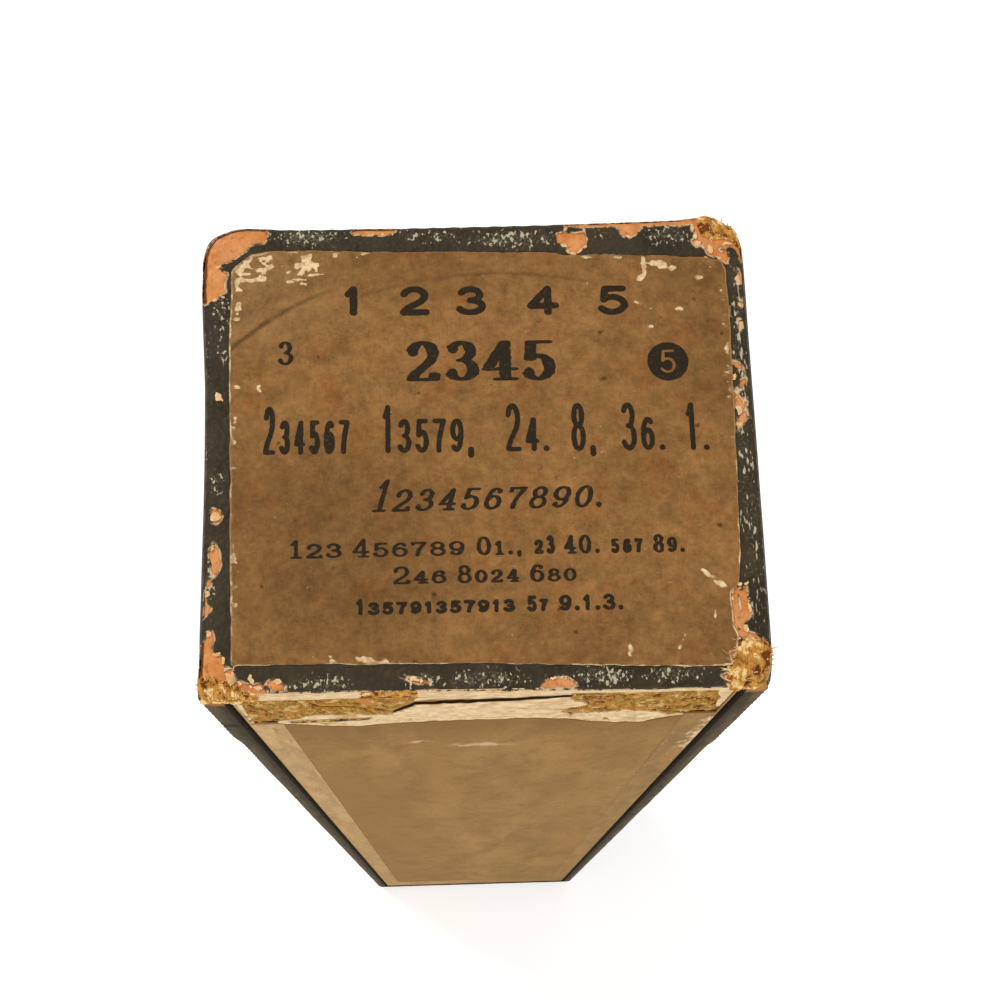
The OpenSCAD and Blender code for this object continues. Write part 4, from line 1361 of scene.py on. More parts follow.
def cream_rim():
    """Pale paper over the label end wall's rim, from under the coat's torn edge to the inside."""
    skin = size_mm("skin")

    def torn(points):
        x, y, z = points.T
        ends = WALL_X + 0.2 - np.abs(x) + 0.6 * rough(points, 1.5, 23, 2)
        gap = np.abs(x + 9.6) - 2.9 + 0.7 * rough(points, (1.2, 1.0, 0.5), 25, 2)
        return np.minimum(np.minimum(ends, gap), 1.0)

    def lumpy(points):
        return -0.03 + 0.05 * rough(points, 0.6, 29, 3)

    across = (-HALF_W, HALF_W)
    near, over = (across, (-HALF_D, -HALF_D + 0.46)), (across, (WALL_HIGH, TOP))
    return [
        face_sheet("label_end", torn, -0.03, -skin + 0.02, 0.15, (0.8, 0.2), near),
        face_sheet("rim", torn, lumpy, -skin, 0.15, (0.8, 0.3), over),
    ]


# Worn corners

# How far frayed board may stand above the label end, in mm
FRAY_PROUD = 0.35
# Where the board is frayed: a face of the lid and the limits of each place on its net
FRAYED_AREAS = (
    ("label_end", ((22.5, HALF_W), (20.5, HALF_D))),
    ("label_end", ((-HALF_W, -21.0), (-HALF_D, -22.0))),
    ("label_end", ((22.5, HALF_W), (-HALF_D, -19.0))),
    ("label_end", ((-14.0, -5.5), (-HALF_D, -24.6))),
    ("right", ((-TOP, -TOP + 6), (19.5, HALF_D))),
    ("right", ((-TOP, -TOP + 6), (-HALF_D, -18.5))),
    ("left", ((TOP - 6, TOP), (-HALF_D, -21.0))),
    ("top", ((TOP - 6, TOP), (21.5, HALF_W))),
    ("rim", ((-HALF_W, -21.0), (TOP - 5, TOP))),
    ("rim", ((WALL_X - 3, HALF_W), (TOP - 5, TOP))),
    ("rim", ((-14.0, -5.5), (WALL_HIGH, TOP))),
)
LOW_CORNER = ((23.6, 28.5), (-25.5, -20.4))
# Loose fibres: a face of the lid, their count, area and lean, ranges of length and radius, and a seed
FIBRES = (
    ("label_end", 60, LOW_CORNER, (-0.9, -0.1, 0.35), (0.5, 1.5), (0.03, 0.08), 3),
    ("label_end", 60, LOW_CORNER, (0.2, 0.5, 0.5), (0.4, 1.2), (0.03, 0.09), 5),
    ("label_end", 16, ((23.6, 25.0), (-24.9, -21.4)), (-1.0, 0.15, 0.12), (0.9, 1.7), (0.08, 0.14), 11),
    ("label_end", 80, ((23.9, 28.5), (21.8, 25.5)), (-0.2, 0.3, 0.6), (0.3, 1.0), (0.03, 0.08), 7),
    ("label_end", 70, ((-28.5, -22.5), (-25.5, -23.2)), (0.2, -0.2, 0.6), (0.3, 1.1), (0.03, 0.09), 9),
    ("left", 20, ((326.5, 329.8), (-25.5, -23.0)), (-0.6, 0.1, 0.2), (0.3, 0.8), (0.03, 0.07), 13),
    ("right", 30, ((-329.8, -326.5), (-25.5, -21.5)), (0.6, 0.1, 0.2), (0.3, 0.8), (0.03, 0.07), 15),
)


def strand(start, direction, length_mm, radius, rng):
    """Points and triangles of one tapered fibre that curls as it goes, with three sides."""
    rings = 4
    axis = direction / np.linalg.norm(direction)
    bend = rng.normal(0, 0.55, 3)
    points = []
    place = start.copy()
    for k in range(rings):
        points.append(place.copy())
        axis = axis + bend / rings
        axis /= np.linalg.norm(axis)
        place = place + axis * length_mm / rings
    side = np.cross(axis, [0.31, 0.52, 0.79])
    side /= np.linalg.norm(side)
    other = np.cross(axis, side)
    verts = []
    for k, point in enumerate(points):
        size = radius * (1 - 0.65 * k / rings)
        for turn in (0, 2 * math.pi / 3, 4 * math.pi / 3):
            verts.append(point + size * (side * math.cos(turn) + other * math.sin(turn)))
    verts.append(place)
    faces = [(0, 2, 1)]
    for k in range(rings - 1):
        for s in range(3):
            a, b = 3 * k + s, 3 * k + (s + 1) % 3
            faces += [(a, b, b + 3), (a, b + 3, a + 3)]
    last = 3 * (rings - 1)
    faces += [(last + s, last + (s + 1) % 3, 3 * rings) for s in range(3)]
    return np.array(verts), np.array(faces)


def fibres_on(face, count, area, lean, lengths, radii, seed):
    """Loose fibres rooted where the board is frayed, leaning one way."""
    rng = np.random.default_rng(seed)
    (low_u, high_u), (low_v, high_v) = area
    made = []
    tries = 0
    while len(made) < count and tries < count * 40:
        tries += 1
        u, v = rng.uniform(low_u, high_u), rng.uniform(low_v, high_v)
        spot = net_points(face, np.array([u]), np.array([v]))
        if board_frayed(spot)[0] < -0.15:
            continue
        root = lid_point(spot, fray_level(spot) - 0.08, FRAY_PROUD)[0]
        direction = np.array(lean) + rng.normal(0, 0.5, 3)
        verts, faces = strand(root, direction, rng.uniform(*lengths), rng.uniform(*radii), rng)
        made.append((clip_to_box(verts, FRAY_PROUD), faces, {}))
    return made


def fray_level(points):
    """Height of the frayed board: swollen in the middle of each worn corner, ridged and pitted."""
    swell = 0.26 * np.clip(board_frayed(points) / 1.2, 0, 1)
    ridges = 0.34 * rough(points, 1.0, 51, 3) + 0.16 * rough(points, 0.4, 57, 2)
    return np.clip(0.02 + swell + ridges, -0.22, 0.45)


# The frayed board's finish paints highlights where this is high and shade where it is low.
def fray_rise(points):
    """How high each point stands among its neighbours, from 0 in the pits to 1 on the ridges."""
    return np.clip(0.5 + 1.1 * rough(points, 1.0, 51, 3) + 0.6 * rough(points, 0.4, 57, 2), 0, 1)


class MUSICROLL_OT_corners(bpy.types.Operator):
    """Makes the frayed board and its loose fibres at the lid's worn corners"""

    bl_idname = "music_roll.corners"
    bl_label = "Worn Corners"

    def execute(self, context):
        low, rise = 0.02 - size_mm("skin"), {"rise": fray_rise}
        parts = [
            face_sheet(face, board_frayed, fray_level, low, 0.12, (0.2, 0.2), limits, FRAY_PROUD, rise)
            for face, limits in FRAYED_AREAS
        ]
        board = board_finish("frayed_board_finish", (0.4, 1.3, 0.8), True, (1.3, 1.2, 1.05), 0.75, 0.9)
        make_piece("frayed_corners", parts, board, "lid", sharp=60)
        fibres = [fibre for group in FIBRES for fibre in fibres_on(*group)]
        make_piece("loose_fibres", fibres, straw_finish(), "lid", sharp=80)
        return {"FINISHED"}


# Numerals


def curve(mid_x, mid_y, radius_x, radius_y, start, end):
    """Points along part of an ellipse, from one angle to another in degrees."""
    count = max(4, int(abs(end - start) / 12))
    turns = np.radians(np.linspace(start, end, count + 1))
    return [(mid_x + radius_x * math.cos(a), mid_y + radius_y * math.sin(a)) for a in turns]


def swing(start, first, second, end):
    """Points along a curve that leaves start towards first and meets end from second."""
    t = np.linspace(0, 1, 11)[:, None]
    p0, p1, p2, p3 = (np.array(p) for p in (start, first, second, end))
    points = (1 - t) ** 3 * p0 + 3 * t * (1 - t) ** 2 * p1 + 3 * t**2 * (1 - t) * p2 + t**3 * p3
    return [tuple(p) for p in points]


SIX_SPINE = swing((0.9, 0.88), (0.62, 1.1), (0.02, 0.98), (0.02, 0.33))
SIX_BOWL = curve(0.5, 0.31, 0.48, 0.31, 180, -180)
# Each numeral's strokes in a box from 0 to 1 both ways
STROKES = {
    "0": [curve(0.5, 0.5, 0.5, 0.5, 90, -270)],
    "1": [[(0.16, 0.78), (0.52, 1.0), (0.52, 0.0)]],
    "2": [
        curve(0.48, 0.71, 0.46, 0.29, 165, -20) + swing((0.91, 0.61), (0.83, 0.38), (0.1, 0.26), (0.02, 0.0)),
        [(0.02, 0.0), (1.0, 0.0)],
    ],
    "3": [curve(0.46, 0.755, 0.42, 0.245, 155, -90) + curve(0.46, 0.26, 0.52, 0.26, 85, -155)],
    "4": [[(1.0, 0.27), (0.0, 0.27), (0.7, 1.0), (0.7, 0.0)]],
    "5": [[(0.92, 1.0), (0.18, 1.0), (0.12, 0.53)] + curve(0.46, 0.32, 0.52, 0.32, 130, -150)],
    "6": [SIX_SPINE, SIX_BOWL],
    "7": [[(0.0, 1.0), (1.0, 1.0)] + swing((1.0, 1.0), (0.62, 0.62), (0.4, 0.42), (0.38, 0.0))],
    "8": [curve(0.5, 0.76, 0.41, 0.24, 90, -270), curve(0.5, 0.265, 0.5, 0.265, 90, -270)],
    "9": [[(1 - x, 1 - y) for x, y in SIX_SPINE], [(1 - x, 1 - y) for x, y in SIX_BOWL]],
    ".": [[(0.5, 0.0), (0.5, 0.001)]],
    ",": [[(0.5, 0.0), (0.5, 0.001)], [(0.5, 0.0), (0.2, -0.16)]],
}
# Feet that serif numerals have, as short level strokes
FEET = {
    "1": [[(0.12, 0.0), (0.92, 0.0)]],
    "4": [[(0.4, 0.0), (1.0, 0.0)]],
    "7": [[(0.0, 1.0), (0.0, 0.84)]],
    "2": [[(1.0, 0.0), (1.0, 0.14)]],
}
# Ends of strokes that serif numerals thicken to a ball
BALLS = {
    "2": [(0.06, 0.76)],
    "3": [(0.1, 0.83), (0.05, 0.17)],
    "5": [(0.06, 0.18)],
    "6": [(0.84, 0.86)],
    "9": [(0.16, 0.14)],
}
# How wide a point or comma is beside a numeral
POINT_WIDTH = 0.45


class Press:
    """The label's ink as one field, stamped numeral by numeral."""

    def __init__(self, cell):
        self.xs = np.arange(-24.5, 24.8, cell)
        self.ys = np.arange(-19.5, 19.5, cell)
        self.field = np.full((len(self.ys), len(self.xs)), -1.0)

    def stamp(self, sign, low, size, nib, slant=0.0, serif=False, ball=0.0):
        """One numeral whose ink fills a box, drawn with a nib of two half sizes."""
        reach = 0.5 + abs(slant) * size[1]
        i0, i1 = np.searchsorted(self.xs, (low[0] - reach, low[0] + size[0] + reach))
        j0, j1 = np.searchsorted(self.ys, (low[1] - 1.4, low[1] + size[1] + 0.5))
        gx, gy = np.meshgrid(self.xs[i0:i1], self.ys[j0:j1])
        x = (gx - slant * (gy - low[1]) - low[0] - nib[0]) / nib[0]
        y = (gy - low[1] - nib[1]) / nib[1]
        wide = (size[0] - 2 * nib[0]) / nib[0]
        tall = (size[1] - 2 * nib[1]) / nib[1]
        if sign in ".,":
            wide, tall = 0.0, size[1] / nib[1]
        best = np.full(gx.shape, np.inf)
        for line in STROKES[sign] + (FEET.get(sign, []) if serif else []):
            for (ax, ay), (bx, by) in zip(line, line[1:]):
                ax, bx, ay, by = ax * wide, bx * wide, ay * tall, by * tall
                ex, ey = bx - ax, by - ay
                share = np.clip(((x - ax) * ex + (y - ay) * ey) / max(ex * ex + ey * ey, 1e-9), 0, 1)
                best = np.minimum(best, np.hypot(x - ax - share * ex, y - ay - share * ey))
        value = (1 - best) * min(nib)
        if ball and serif:
            for bx, by in BALLS.get(sign, []):
                away = np.hypot((x - bx * wide) * nib[0], (y - by * tall) * nib[1])
                value = np.maximum(value, ball - away)
        area = self.field[j0:j1, i0:i1]
        np.maximum(area, value, out=area)

    def word(self, signs, start, end, heights, nib, gap, slope=0.0, **style):
        """A row of numerals between two x places; heights are the first one's and the others'."""
        base = start[1]
        shares = [POINT_WIDTH if s in ".," else 0.8 if s == "1" else 1.0 for s in signs]
        shares = [s * (1.0 if k == 0 or heights[0] == heights[1] else 0.9) for k, s in enumerate(shares)]
        room = end - start[0] - gap * (len(signs) - 1)
        x = start[0]
        for k, (sign, share) in enumerate(zip(signs, shares)):
            width = room * share / sum(shares)
            height = heights[0] if k == 0 else heights[1]
            y = base + slope * (x - start[0])
            if sign in ".,":
                size = min(width * 0.5, 1.15 * nib[0])
                self.stamp(sign, (x + width / 2 - size, y), (2 * size, height), (size, size))
            else:
                self.stamp(sign, (x, y), (width, height), nib, **style)
            x += width + gap


# Two rows of numerals set apart: each one's place across the label and its width
WIDE_ROW = (("1", -14.2, 2.4), ("2", -8.1, 3.2), ("3", -2.1, 3.2), ("4", 5.4, 3.4), ("5", 12.9, 3.3))
HEAVY_ROW = (("2", -7.5, 3.6), ("3", -3.4, 3.6), ("4", 0.4, 3.9), ("5", 4.6, 3.6))
# Faces of type for the other rows
TALL = {"nib": (0.26, 0.24), "gap": 0.4, "slope": -0.012}
SLANTED = {"nib": (0.24, 0.12), "gap": 0.5, "slant": 0.28, "serif": True, "ball": 0.26}
SMALL = {"nib": (0.2, 0.1), "gap": 0.3, "serif": True, "ball": 0.2}
BOLD = {"nib": (0.21, 0.17), "gap": 0.22}
# Words of a face of type: its first and other heights, then each word with its x, y and end
WORDS = (
    (TALL, (5.25, 3.7), ("234567", -22.3, -0.35, -13.4), ("13579,", -10.1, -0.45, -0.6)),
    (TALL, (5.25, 3.7), ("24.", 2.7, -0.55, 7.2), ("8,", 9.5, -0.65, 12.0)),
    (TALL, (5.25, 3.7), ("36.", 14.7, -0.72, 19.2), ("1.", 21.4, -0.85, 23.8)),
    (SLANTED, (3.45, 2.35), ("1234567890.", -11.3, -6.75, 12.4)),
    (SMALL, (1.95, 1.5), ("123", -19.6, -11.45, -14.2), ("456789", -13.2, -11.5, -1.8)),
    (SMALL, (1.95, 1.5), ("01.,", -0.6, -11.55, 4.0)),
    (SMALL, (1.5, 1.95), ("23", 5.2, -11.55, 7.3)),
    (SMALL, (1.95, 1.95), ("40.", 8.2, -11.6, 11.9)),
    (SMALL, (1.5, 1.5), ("567", 13.0, -11.65, 16.3)),
    (SMALL, (1.95, 1.6), ("89.", 17.3, -11.7, 20.5)),
    (SMALL, (1.85, 1.35), ("246", -9.1, -14.35, -3.7), ("8024", -2.6, -14.4, 3.6), ("680", 4.7, -14.45, 9.4)),
    (BOLD, (1.65, 1.3), ("135791357913", -12.9, -17.45, 3.1), ("57", 4.3, -17.5, 6.4)),
    (BOLD, (1.65, 1.65), ("9.1.3.", 7.5, -17.5, 14.0)),
)


def printed_rows(cell):
    """The label's seven rows of plain numerals, each in its own face of type."""
    press = Press(cell)
    for sign, x, width in WIDE_ROW:
        press.stamp(sign, (x, 14.95 - 0.018 * (x + 14)), (width, 3.35), (0.4, 0.34))
    for sign, x, width in HEAVY_ROW:
        press.stamp(sign, (x, 7.4 - 0.016 * (x + 7.5)), (width, 4.5), (0.62, 0.17), serif=True, ball=0.55)
    press.stamp("3", (-20.9, 9.5), (1.65, 2.65), (0.24, 0.12), serif=True, ball=0.24)
    for face, heights, *words in WORDS:
        for signs, x, y, end in words:
            press.word(signs, (x, y), end, heights, **face)
    return press


# The round black spot with one numeral
DISC_MID = (20.0, 9.05)
DISC_RADIUS = 2.15
# The label's outline on the end, and the places where its brown face has flaked off
LABEL_OUTLINE = [
    (-25.65, 20.3), (-25, 21.3), (-23.9, 22.3), (-22.4, 22.6), (-20, 22.65), (-10, 22.3), (0, 22.1),
    (8.8, 21.75), (9.8, 21.45), (12, 21.6), (15, 21.45), (20, 21.2), (25.3, 20.9), (26.3, 20.4),
    (26.7, 19.4), (26.7, 12), (26.35, 0), (26, -12), (25.5, -15), (24.7, -16), (24.8, -19.5), (25.2, -20.5),
    (24.9, -21.8), (24.2, -22), (24.4, -23.2), (20, -23.3), (8, -22.85), (0, -22.55), (-10, -22.35),
    (-20, -22.15), (-25, -22.05), (-25.15, -15), (-25.3, -10), (-25.5, 0), (-25.8, 8), (-25.75, 15),
]
FLAKE_OUTLINES = (
    [(-12.9, -21.4), (-12, -21.7), (-10.5, -22), (-7.8, -22.2), (-11, -22.4), (-12.8, -22.05)],
    [(17.9, 21.1), (18.25, 21.1), (18.2, 18.9), (17.8, 18.4), (17.2, 18.4), (17.3, 18.75), (17.85, 19.2)],
)
FLAKE_BLOBS = (
    (-23.1, 22.3, 0.8, 0.26, 15), (-24.3, 21.3, 0.5, 0.26, 40), (-22.9, 21.5, 0.3, 0.16),
    (-22.7, 20.5, 0.8, 0.24, 12), (-24.6, 20, 0.5, 0.2), (-25.3, 18.9, 0.2, 0.4),
    (-24, 19.3, 0.3, 0.22, 40), (-21.9, 22, 0.25, 0.18), (-18.9, 20.9, 0.5, 0.4),
    (-17.4, 20.8, 0.4, 0.26, 20), (-17.8, 21.9, 0.28, 0.22), (-19.7, 20.2, 0.36, 0.2),
    (-17.2, 19.7, 0.8, 0.16, 5), (-19.6, 19, 0.36, 0.2), (-18.5, 20, 0.3, 0.3), (-16.9, 20.3, 0.2, 0.22),
    (-19.8, 22.5, 0.8, 0.16, -8), (-11.5, 22.2, 0.6, 0.2), (21.1, 19.7, 0.4, 0.18),
    (23.9, 18.6, 0.34, 0.24), (18, 15.5, 0.72, 0.14, -18), (18.4, 13.1, 0.25, 0.18), (21.6, 15, 0.3, 0.14),
    (-22.85, 7.15, 0.18, 0.4), (22.9, -14.2, 0.85, 0.22, -38), (24, -15.1, 0.6, 0.2, -30),
    (14.4, -21.6, 0.14, 0.5), (19.4, -21.3, 0.12, 0.6, -28), (23.2, -18.1, 0.14, 0.34),
    (-20.5, -17.7, 0.22, 0.2), (12, 21.3, 0.9, 0.14), (15.3, 21.2, 0.5, 0.12),
)
# Places where the face has come off in small crumbs
FLAKE_ZONES = (
    (-23.6, 20.7, 2.1, 2.1, 30), (-18.5, 20.5, 2.1, 1.8), (-25.2, 16.5, 0.6, 4), (-12.6, 21.9, 3, 0.5),
    (19, 20.3, 2.2, 0.6), (24.8, 19.9, 1, 0.7), (-14, -22, 3, 0.4), (-25.4, 2, 0.35, 6),
    (-25.2, -12, 0.35, 5), (26.4, 10, 0.35, 8),
)


class MUSICROLL_OT_label(bpy.types.Operator):
    """Makes the end label: a pale core, a brown face with its flakes, and printed plain numerals"""

    bl_idname = "music_roll.label"
    bl_label = "End Label"

    def execute(self, context):
        core_top = size_mm("label_core")
        face_top = core_top + size_mm("label_face")
        xs, ys = grid_around(-26.2, 27.2, 0.12), grid_around(-24.0, 23.2, 0.12)
        inner = steps(xs[1], xs[-2], 1.0), steps(ys[1], ys[-2], 1.0)
        gx, gy = np.meshgrid(xs, ys)
        outline = inside_outline(LABEL_OUTLINE, gx, gy)
        wander, fine = rough_at(gx, gy, 0, 1.6, 71), rough_at(gx, gy, 0, 0.5, 73, 2)
        margin = 0.09 - 0.16 * np.clip((gy - 20.5) / 0.8, 0, 1) + 0.08 * np.clip((gx - 24) / 1.5, 0, 1)
        margin = margin + 0.1 * np.clip((-24 - gx) / 1.5, 0, 1)
        core = outline + margin + 0.13 * wander + 0.07 * rough_at(gx, gy, 0, 5.0, 89, 2)
        flakes = any_of(FLAKE_OUTLINES, FLAKE_BLOBS, gx, gy) + 0.24 * fine + 0.1 * wander
        crumbs = rough_at(gx, gy, 0, (0.9, 0.55, 1.0), 75)
        lace = 0.5 * np.clip(any_of((), FLAKE_ZONES, gx, gy), -1, 0.4) + 0.6 * crumbs
        flakes = np.maximum(flakes, lace - 0.24)
        face = np.minimum(outline + 0.12 * wander + 0.05 * fine, -flakes)

        def level(height):
            def at(x, y):
                curl = 0.03 * rough_at(x, y, 0, 6.0, 79, 2)
                rise = np.clip(height + curl, 0.0, LABEL_HIGH[2] - TOP - 0.002)
                spots = np.column_stack([x, y, np.full(len(x), TOP)])
                drop = TOP - lid_point(spots, np.zeros(len(x)))[:, 2]
                return np.column_stack([x, y, TOP + rise - np.minimum(drop, 0.08)])

            return at

        def layer(field, high, low, edge):
            values = {"edge": lambda x, y: sample(edge, xs, ys, x, y)}
            return [cut_sheet(field, xs, ys, *inner, level(high), level(low), values)]

        make_piece("label_core", layer(core, core_top, 0.0, outline), core_finish(), "lid")
        parts = layer(face, face_top, core_top, face)
        make_piece("label_face", parts, label_finish(), "lid", ["end_label"])

        press, sign = printed_rows(0.08), Press(0.08)
        sign.stamp("5", (DISC_MID[0] - 0.85, DISC_MID[1] - 1.3), (1.7, 2.6), (0.17, 0.13))
        gx, gy = np.meshgrid(press.xs, press.ys)
        disc = DISC_RADIUS - np.hypot(gx - DISC_MID[0], gy - DISC_MID[1])
        ink = np.maximum(press.field, np.minimum(disc, -sign.field))
        ink = ink + 0.035 * rough_at(gx, gy, 0, 0.35, 83, 2)
        inner = (np.array([-24.0, 24.0]), np.array([-19.0, 19.0]))
        top = level(face_top + size_mm("ink"))
        parts = [cut_sheet(ink, press.xs, press.ys, *inner, top, level(face_top))]
        make_piece("label_ink", parts, ink_finish(), "lid")
        return {"FINISHED"}


# The tray's underside

# Pale scuffs on the tan paper: middle and half size along x and z
SCUFFS = ((-0.2, 291.5, 5.0, 3.2), (-7.6, 295.5, 2.2, 2.2))
# Where the tan paper's face and its pale body end, torn: x places and the z each reaches there
TEAR_X = (-22.5, -18.0, -14.0, -10.0, -6.0, 0.0, 6.0, 9.0, 12.0, 18.0, 20.0, 22.5)
FACE_TEAR = (311.2, 308.8, 308.4, 309.6, 310.4, 310.2, 310.4, 309.4, 306.8, 306.0, 308.4, 311.2)
CORE_TEAR = (312.4, 315.8, 315.4, 315.2, 312.4, 311.6, 312.0, 312.4, 313.4, 312.6, 311.6, 311.4)
# The pale sheet's slivers along its left and right edges, and the notch in its middle tongue
PALE_OUTLINES = (
    [(-25.6, 328), (-24.95, 328), (-25.05, 319), (-25.15, 312), (-25.6, 312)],
    [(25.6, 328), (23.9, 328), (23.7, 325), (24.5, 321), (24.9, 315), (25.6, 315)],
    [(2, 317.2), (9.6, 316.4), (8.4, 315.4), (7.4, 315.8)],
)
# A slit in the pale body of the tan paper
SLIT_OUTLINE = [(-21, 312.6), (-12.4, 313.4), (-12.8, 312.2), (-21, 311.3)]


def graded(low, high, fine_from, coarse, fine):
    """Places from low to high, coarse up to a point and fine after it."""
    return np.concatenate([steps(low, fine_from, coarse)[:-1], steps(fine_from, high, fine)])


def under_sheet(field, cell, inner, high, low, limits, fine_from=None, values=None):
    """A sheet on the tray's underside, with x and z as its net and heights in mm towards -y."""
    z0, z1 = limits[1]
    xs, zs = (grid_around(*ends, cell) for ends in limits)
    inner_x, inner_z = (steps(*ends, inner) for ends in limits)
    if fine_from:
        zs = graded(z0 - 2, z1 + cell, fine_from, 2.0, cell)
        inner_z = graded(z0, z1, fine_from, 4.0, inner)

    def place(x, z, height):
        return np.column_stack([x, BOARD_FACE - height, z])

    return net_sheet(within(limits, field), (xs, zs), (inner_x, inner_z), place, high, low, values)


def flat_noise(x, z, size, seed, octaves=3):
    """Noise over the underside."""
    return rough_at(x, 0, z, size, seed, octaves)


def face_tear(x):
    """Where the tan face ends, along z."""
    return np.interp(x, TEAR_X, FACE_TEAR) + 0.7 * flat_noise(x, 0 * x, 2.6, 101, 4)


def core_tear(x):
    """Where the pale body of the tan paper ends, past its face."""
    lumpy = 0.6 + 1.1 * np.clip((x - 7.0) / 3.0, 0, 1)
    return np.interp(x, TEAR_X, CORE_TEAR) + lumpy * flat_noise(x, 0 * x, 1.7, 107, 3)


# A crack right across the pale sheet and the board under it: x places and the z it has there
CRACK_X = (-17.0, -12.0, -9.9, -7.4, -2.0, 4.0, 9.0, 9.6)
CRACK_Z = (321.2, 319.6, 317.0, 322.4, 322.9, 323.6, 324.3, 324.4)
CRACK_HALF = (0.3, 0.4, 0.9, 1.0, 0.9, 0.7, 0.5, 0.15)


def crack(x, z):
    """How far inside the crack each place is."""
    middle = np.interp(x, CRACK_X, CRACK_Z) + 0.25 * flat_noise(x, 0 * x, 1.3, 123)
    half = np.interp(x, CRACK_X, CRACK_HALF) * (1 + 0.3 * flat_noise(x, 0 * x, 0.9, 125))
    return np.minimum(half - np.abs(z - middle), np.minimum(x - CRACK_X[0], CRACK_X[-1] - x))


def tongue(x, z):
    """How far inside the pale tongue in the middle of the torn zone each place is."""
    outline = [
        (-9.6, 309), (-9.9, TRAY_END - 11.6), (-7.6, TRAY_END - 5.6), (-7.0, TRAY_END - 2.0),
        (-5.4, TRAY_END), (8.4, TRAY_END), (8.9, TRAY_END - 2.6), (8.6, TRAY_END - 5.0),
        (11.0, TRAY_END - 9.0), (9.0, TRAY_END - 10.2), (8.2, TRAY_END - 13), (9.4, 309),
    ]
    return inside_outline(outline, x, z) + 0.5 * flat_noise(x, z, (1.4, 1, 1.0), 121)


class MUSICROLL_OT_underside(bpy.types.Operator):
    """Makes the tray's underside: torn board, pale paper, the tan panel and its turned edges"""

    bl_idname = "music_roll.underside"
    bl_label = "Tray Underside"

    def execute(self, context):
        full = BOARD_FACE - UNDER

        # How high the torn board stands; its finish paints shade where this is low, so the crack and the
        # slits read dark.
        def ridges(x, z):
            lumps = 0.55 * flat_noise(x, z, (1.1, 1, 2.6), 113)
            lumps = lumps + 0.4 * flat_noise(x, z, (0.45, 1, 1.2), 117, 2)
            slits = np.clip(flat_noise(x, z, (5.0, 1, 1.2), 119, 2) - 0.4, 0, 1) * 3
            covered = 0.35 * smooth(tongue(x, z), -0.5, 0.5)
            return np.clip(0.5 + lumps - slits - covered - 3 * np.clip(crack(x, z) + 0.4, 0, 1), 0, 1)

        def fibre_height(x, z):
            return np.clip(-0.04 + (full + 0.02) * ridges(x, z), -0.04, full - 0.02)

        limits = ((-25.3, 25.2), (TORN - 4, TRAY_END - 0.1))
        board = [under_sheet(everywhere, 0.25, 0.32, fibre_height, -0.06, limits, values={"rise": ridges})]
        material = board_finish("torn_board_finish", (0.7, 0.7, 1.6), True, (0.78, 0.79, 0.56))
        make_piece("torn_board", board, material, "tray", sharp=60)

        def pale(x, z):
            left, right, notch = (inside_outline(outline, x, z) for outline in PALE_OUTLINES)
            slivers = np.maximum(left, right) + 0.2 * flat_noise(x, z, (0.7, 1, 1.6), 122)
            whole = np.maximum(tongue(x, z), slivers)
            return np.minimum(whole, np.minimum(-notch, -crack(x, z)))

        def pale_height(x, z):
            curl = 0.06 * np.clip((z - TORN) / 12, 0, 1) + 0.07 * flat_noise(x, z, (3.0, 1, 2.2), 127)
            return np.clip(0.22 + curl + 0.03 * flat_noise(x, z, (0.7, 1, 1.2), 129, 2), 0.1, full - 0.01)

        # Painted shadow: the pale sheet goes nearly black in and beside the crack.
        soil = {"soil": lambda x, z: 1 - smooth(-crack(x, z), 0.05, 0.5)}
        limits = ((-25.4, 25.3), (TORN - 3.5, TRAY_END))
        sheets = [under_sheet(pale, 0.18, 0.7, pale_height, 0.05, limits, values=soil)]
        lower = ((-PANEL_HIGH[0], PANEL_HIGH[0]), (PANEL_LOW[2], TORN - 2.5))
        sheets.append(under_sheet(everywhere, 2.0, 6.0, 0.13, 0.0, lower))
        finish = cream_finish("pale_sheet_finish", 0.45, (1.6, 1.0, 1.6), soiled_and_shaded=True)
        make_piece("pale_sheet", sheets, finish, "tray", ["tray_base_paper"])

        near = ((-PANEL_HIGH[0] - 0.5, PANEL_HIGH[0] + 0.5), (TORN - 8, TRAY_END - 8))

        def slit(x, z):
            return inside_outline(SLIT_OUTLINE, x, z)

        def core(x, z):
            return np.minimum(core_tear(x) - z + 0.15 * flat_noise(x, z, 0.6, 131), -slit(x, z))

        def core_high(x, z):
            lumpy = 0.05 + 0.06 * np.clip((x - 7) / 3, 0, 1)
            return np.clip(0.24 + lumpy * flat_noise(x, z, (1.2, 1, 1.6), 133), 0.1, full - 0.03)

        # Painted shadow: the panel's pale body goes dark in its slit.
        soil = {"soil": lambda x, z: 0.9 * smooth(slit(x, z), -0.45, 0.0)}
        torn_core = [under_sheet(core, 0.18, 0.5, core_high, 0.0, near, values=soil)]
        finish = cream_finish("panel_core_finish", 0.6, (1.0, 1.0, 1.4), soiled_and_shaded=True)
        make_piece("panel_core", torn_core, finish, "tray")

        def face(x, z):
            return face_tear(x) - z + 0.15 * flat_noise(x, z, 0.7, 137)

        def face_high(x, z):
            swell = 0.03 * flat_noise(x, z, (9.0, 1, 22.0), 139, 2)
            return np.clip(full - 0.035 + swell, 0.2, full)

        whole = ((-PANEL_HIGH[0] - 0.3, PANEL_HIGH[0] + 0.3), (PANEL_LOW[2], TORN + 3))
        panel = [under_sheet(face, 0.2, 1.0, face_high, 0.14, whole, TORN - 9)]
        finish = tan_finish("tan_panel_finish")
        make_piece("tan_panel", panel, finish, "tray", ["tray_bottom_paper"])
        dress_node("tray_side_wrap", side_wrap_finish())
        return {"FINISHED"}


# Inside the box


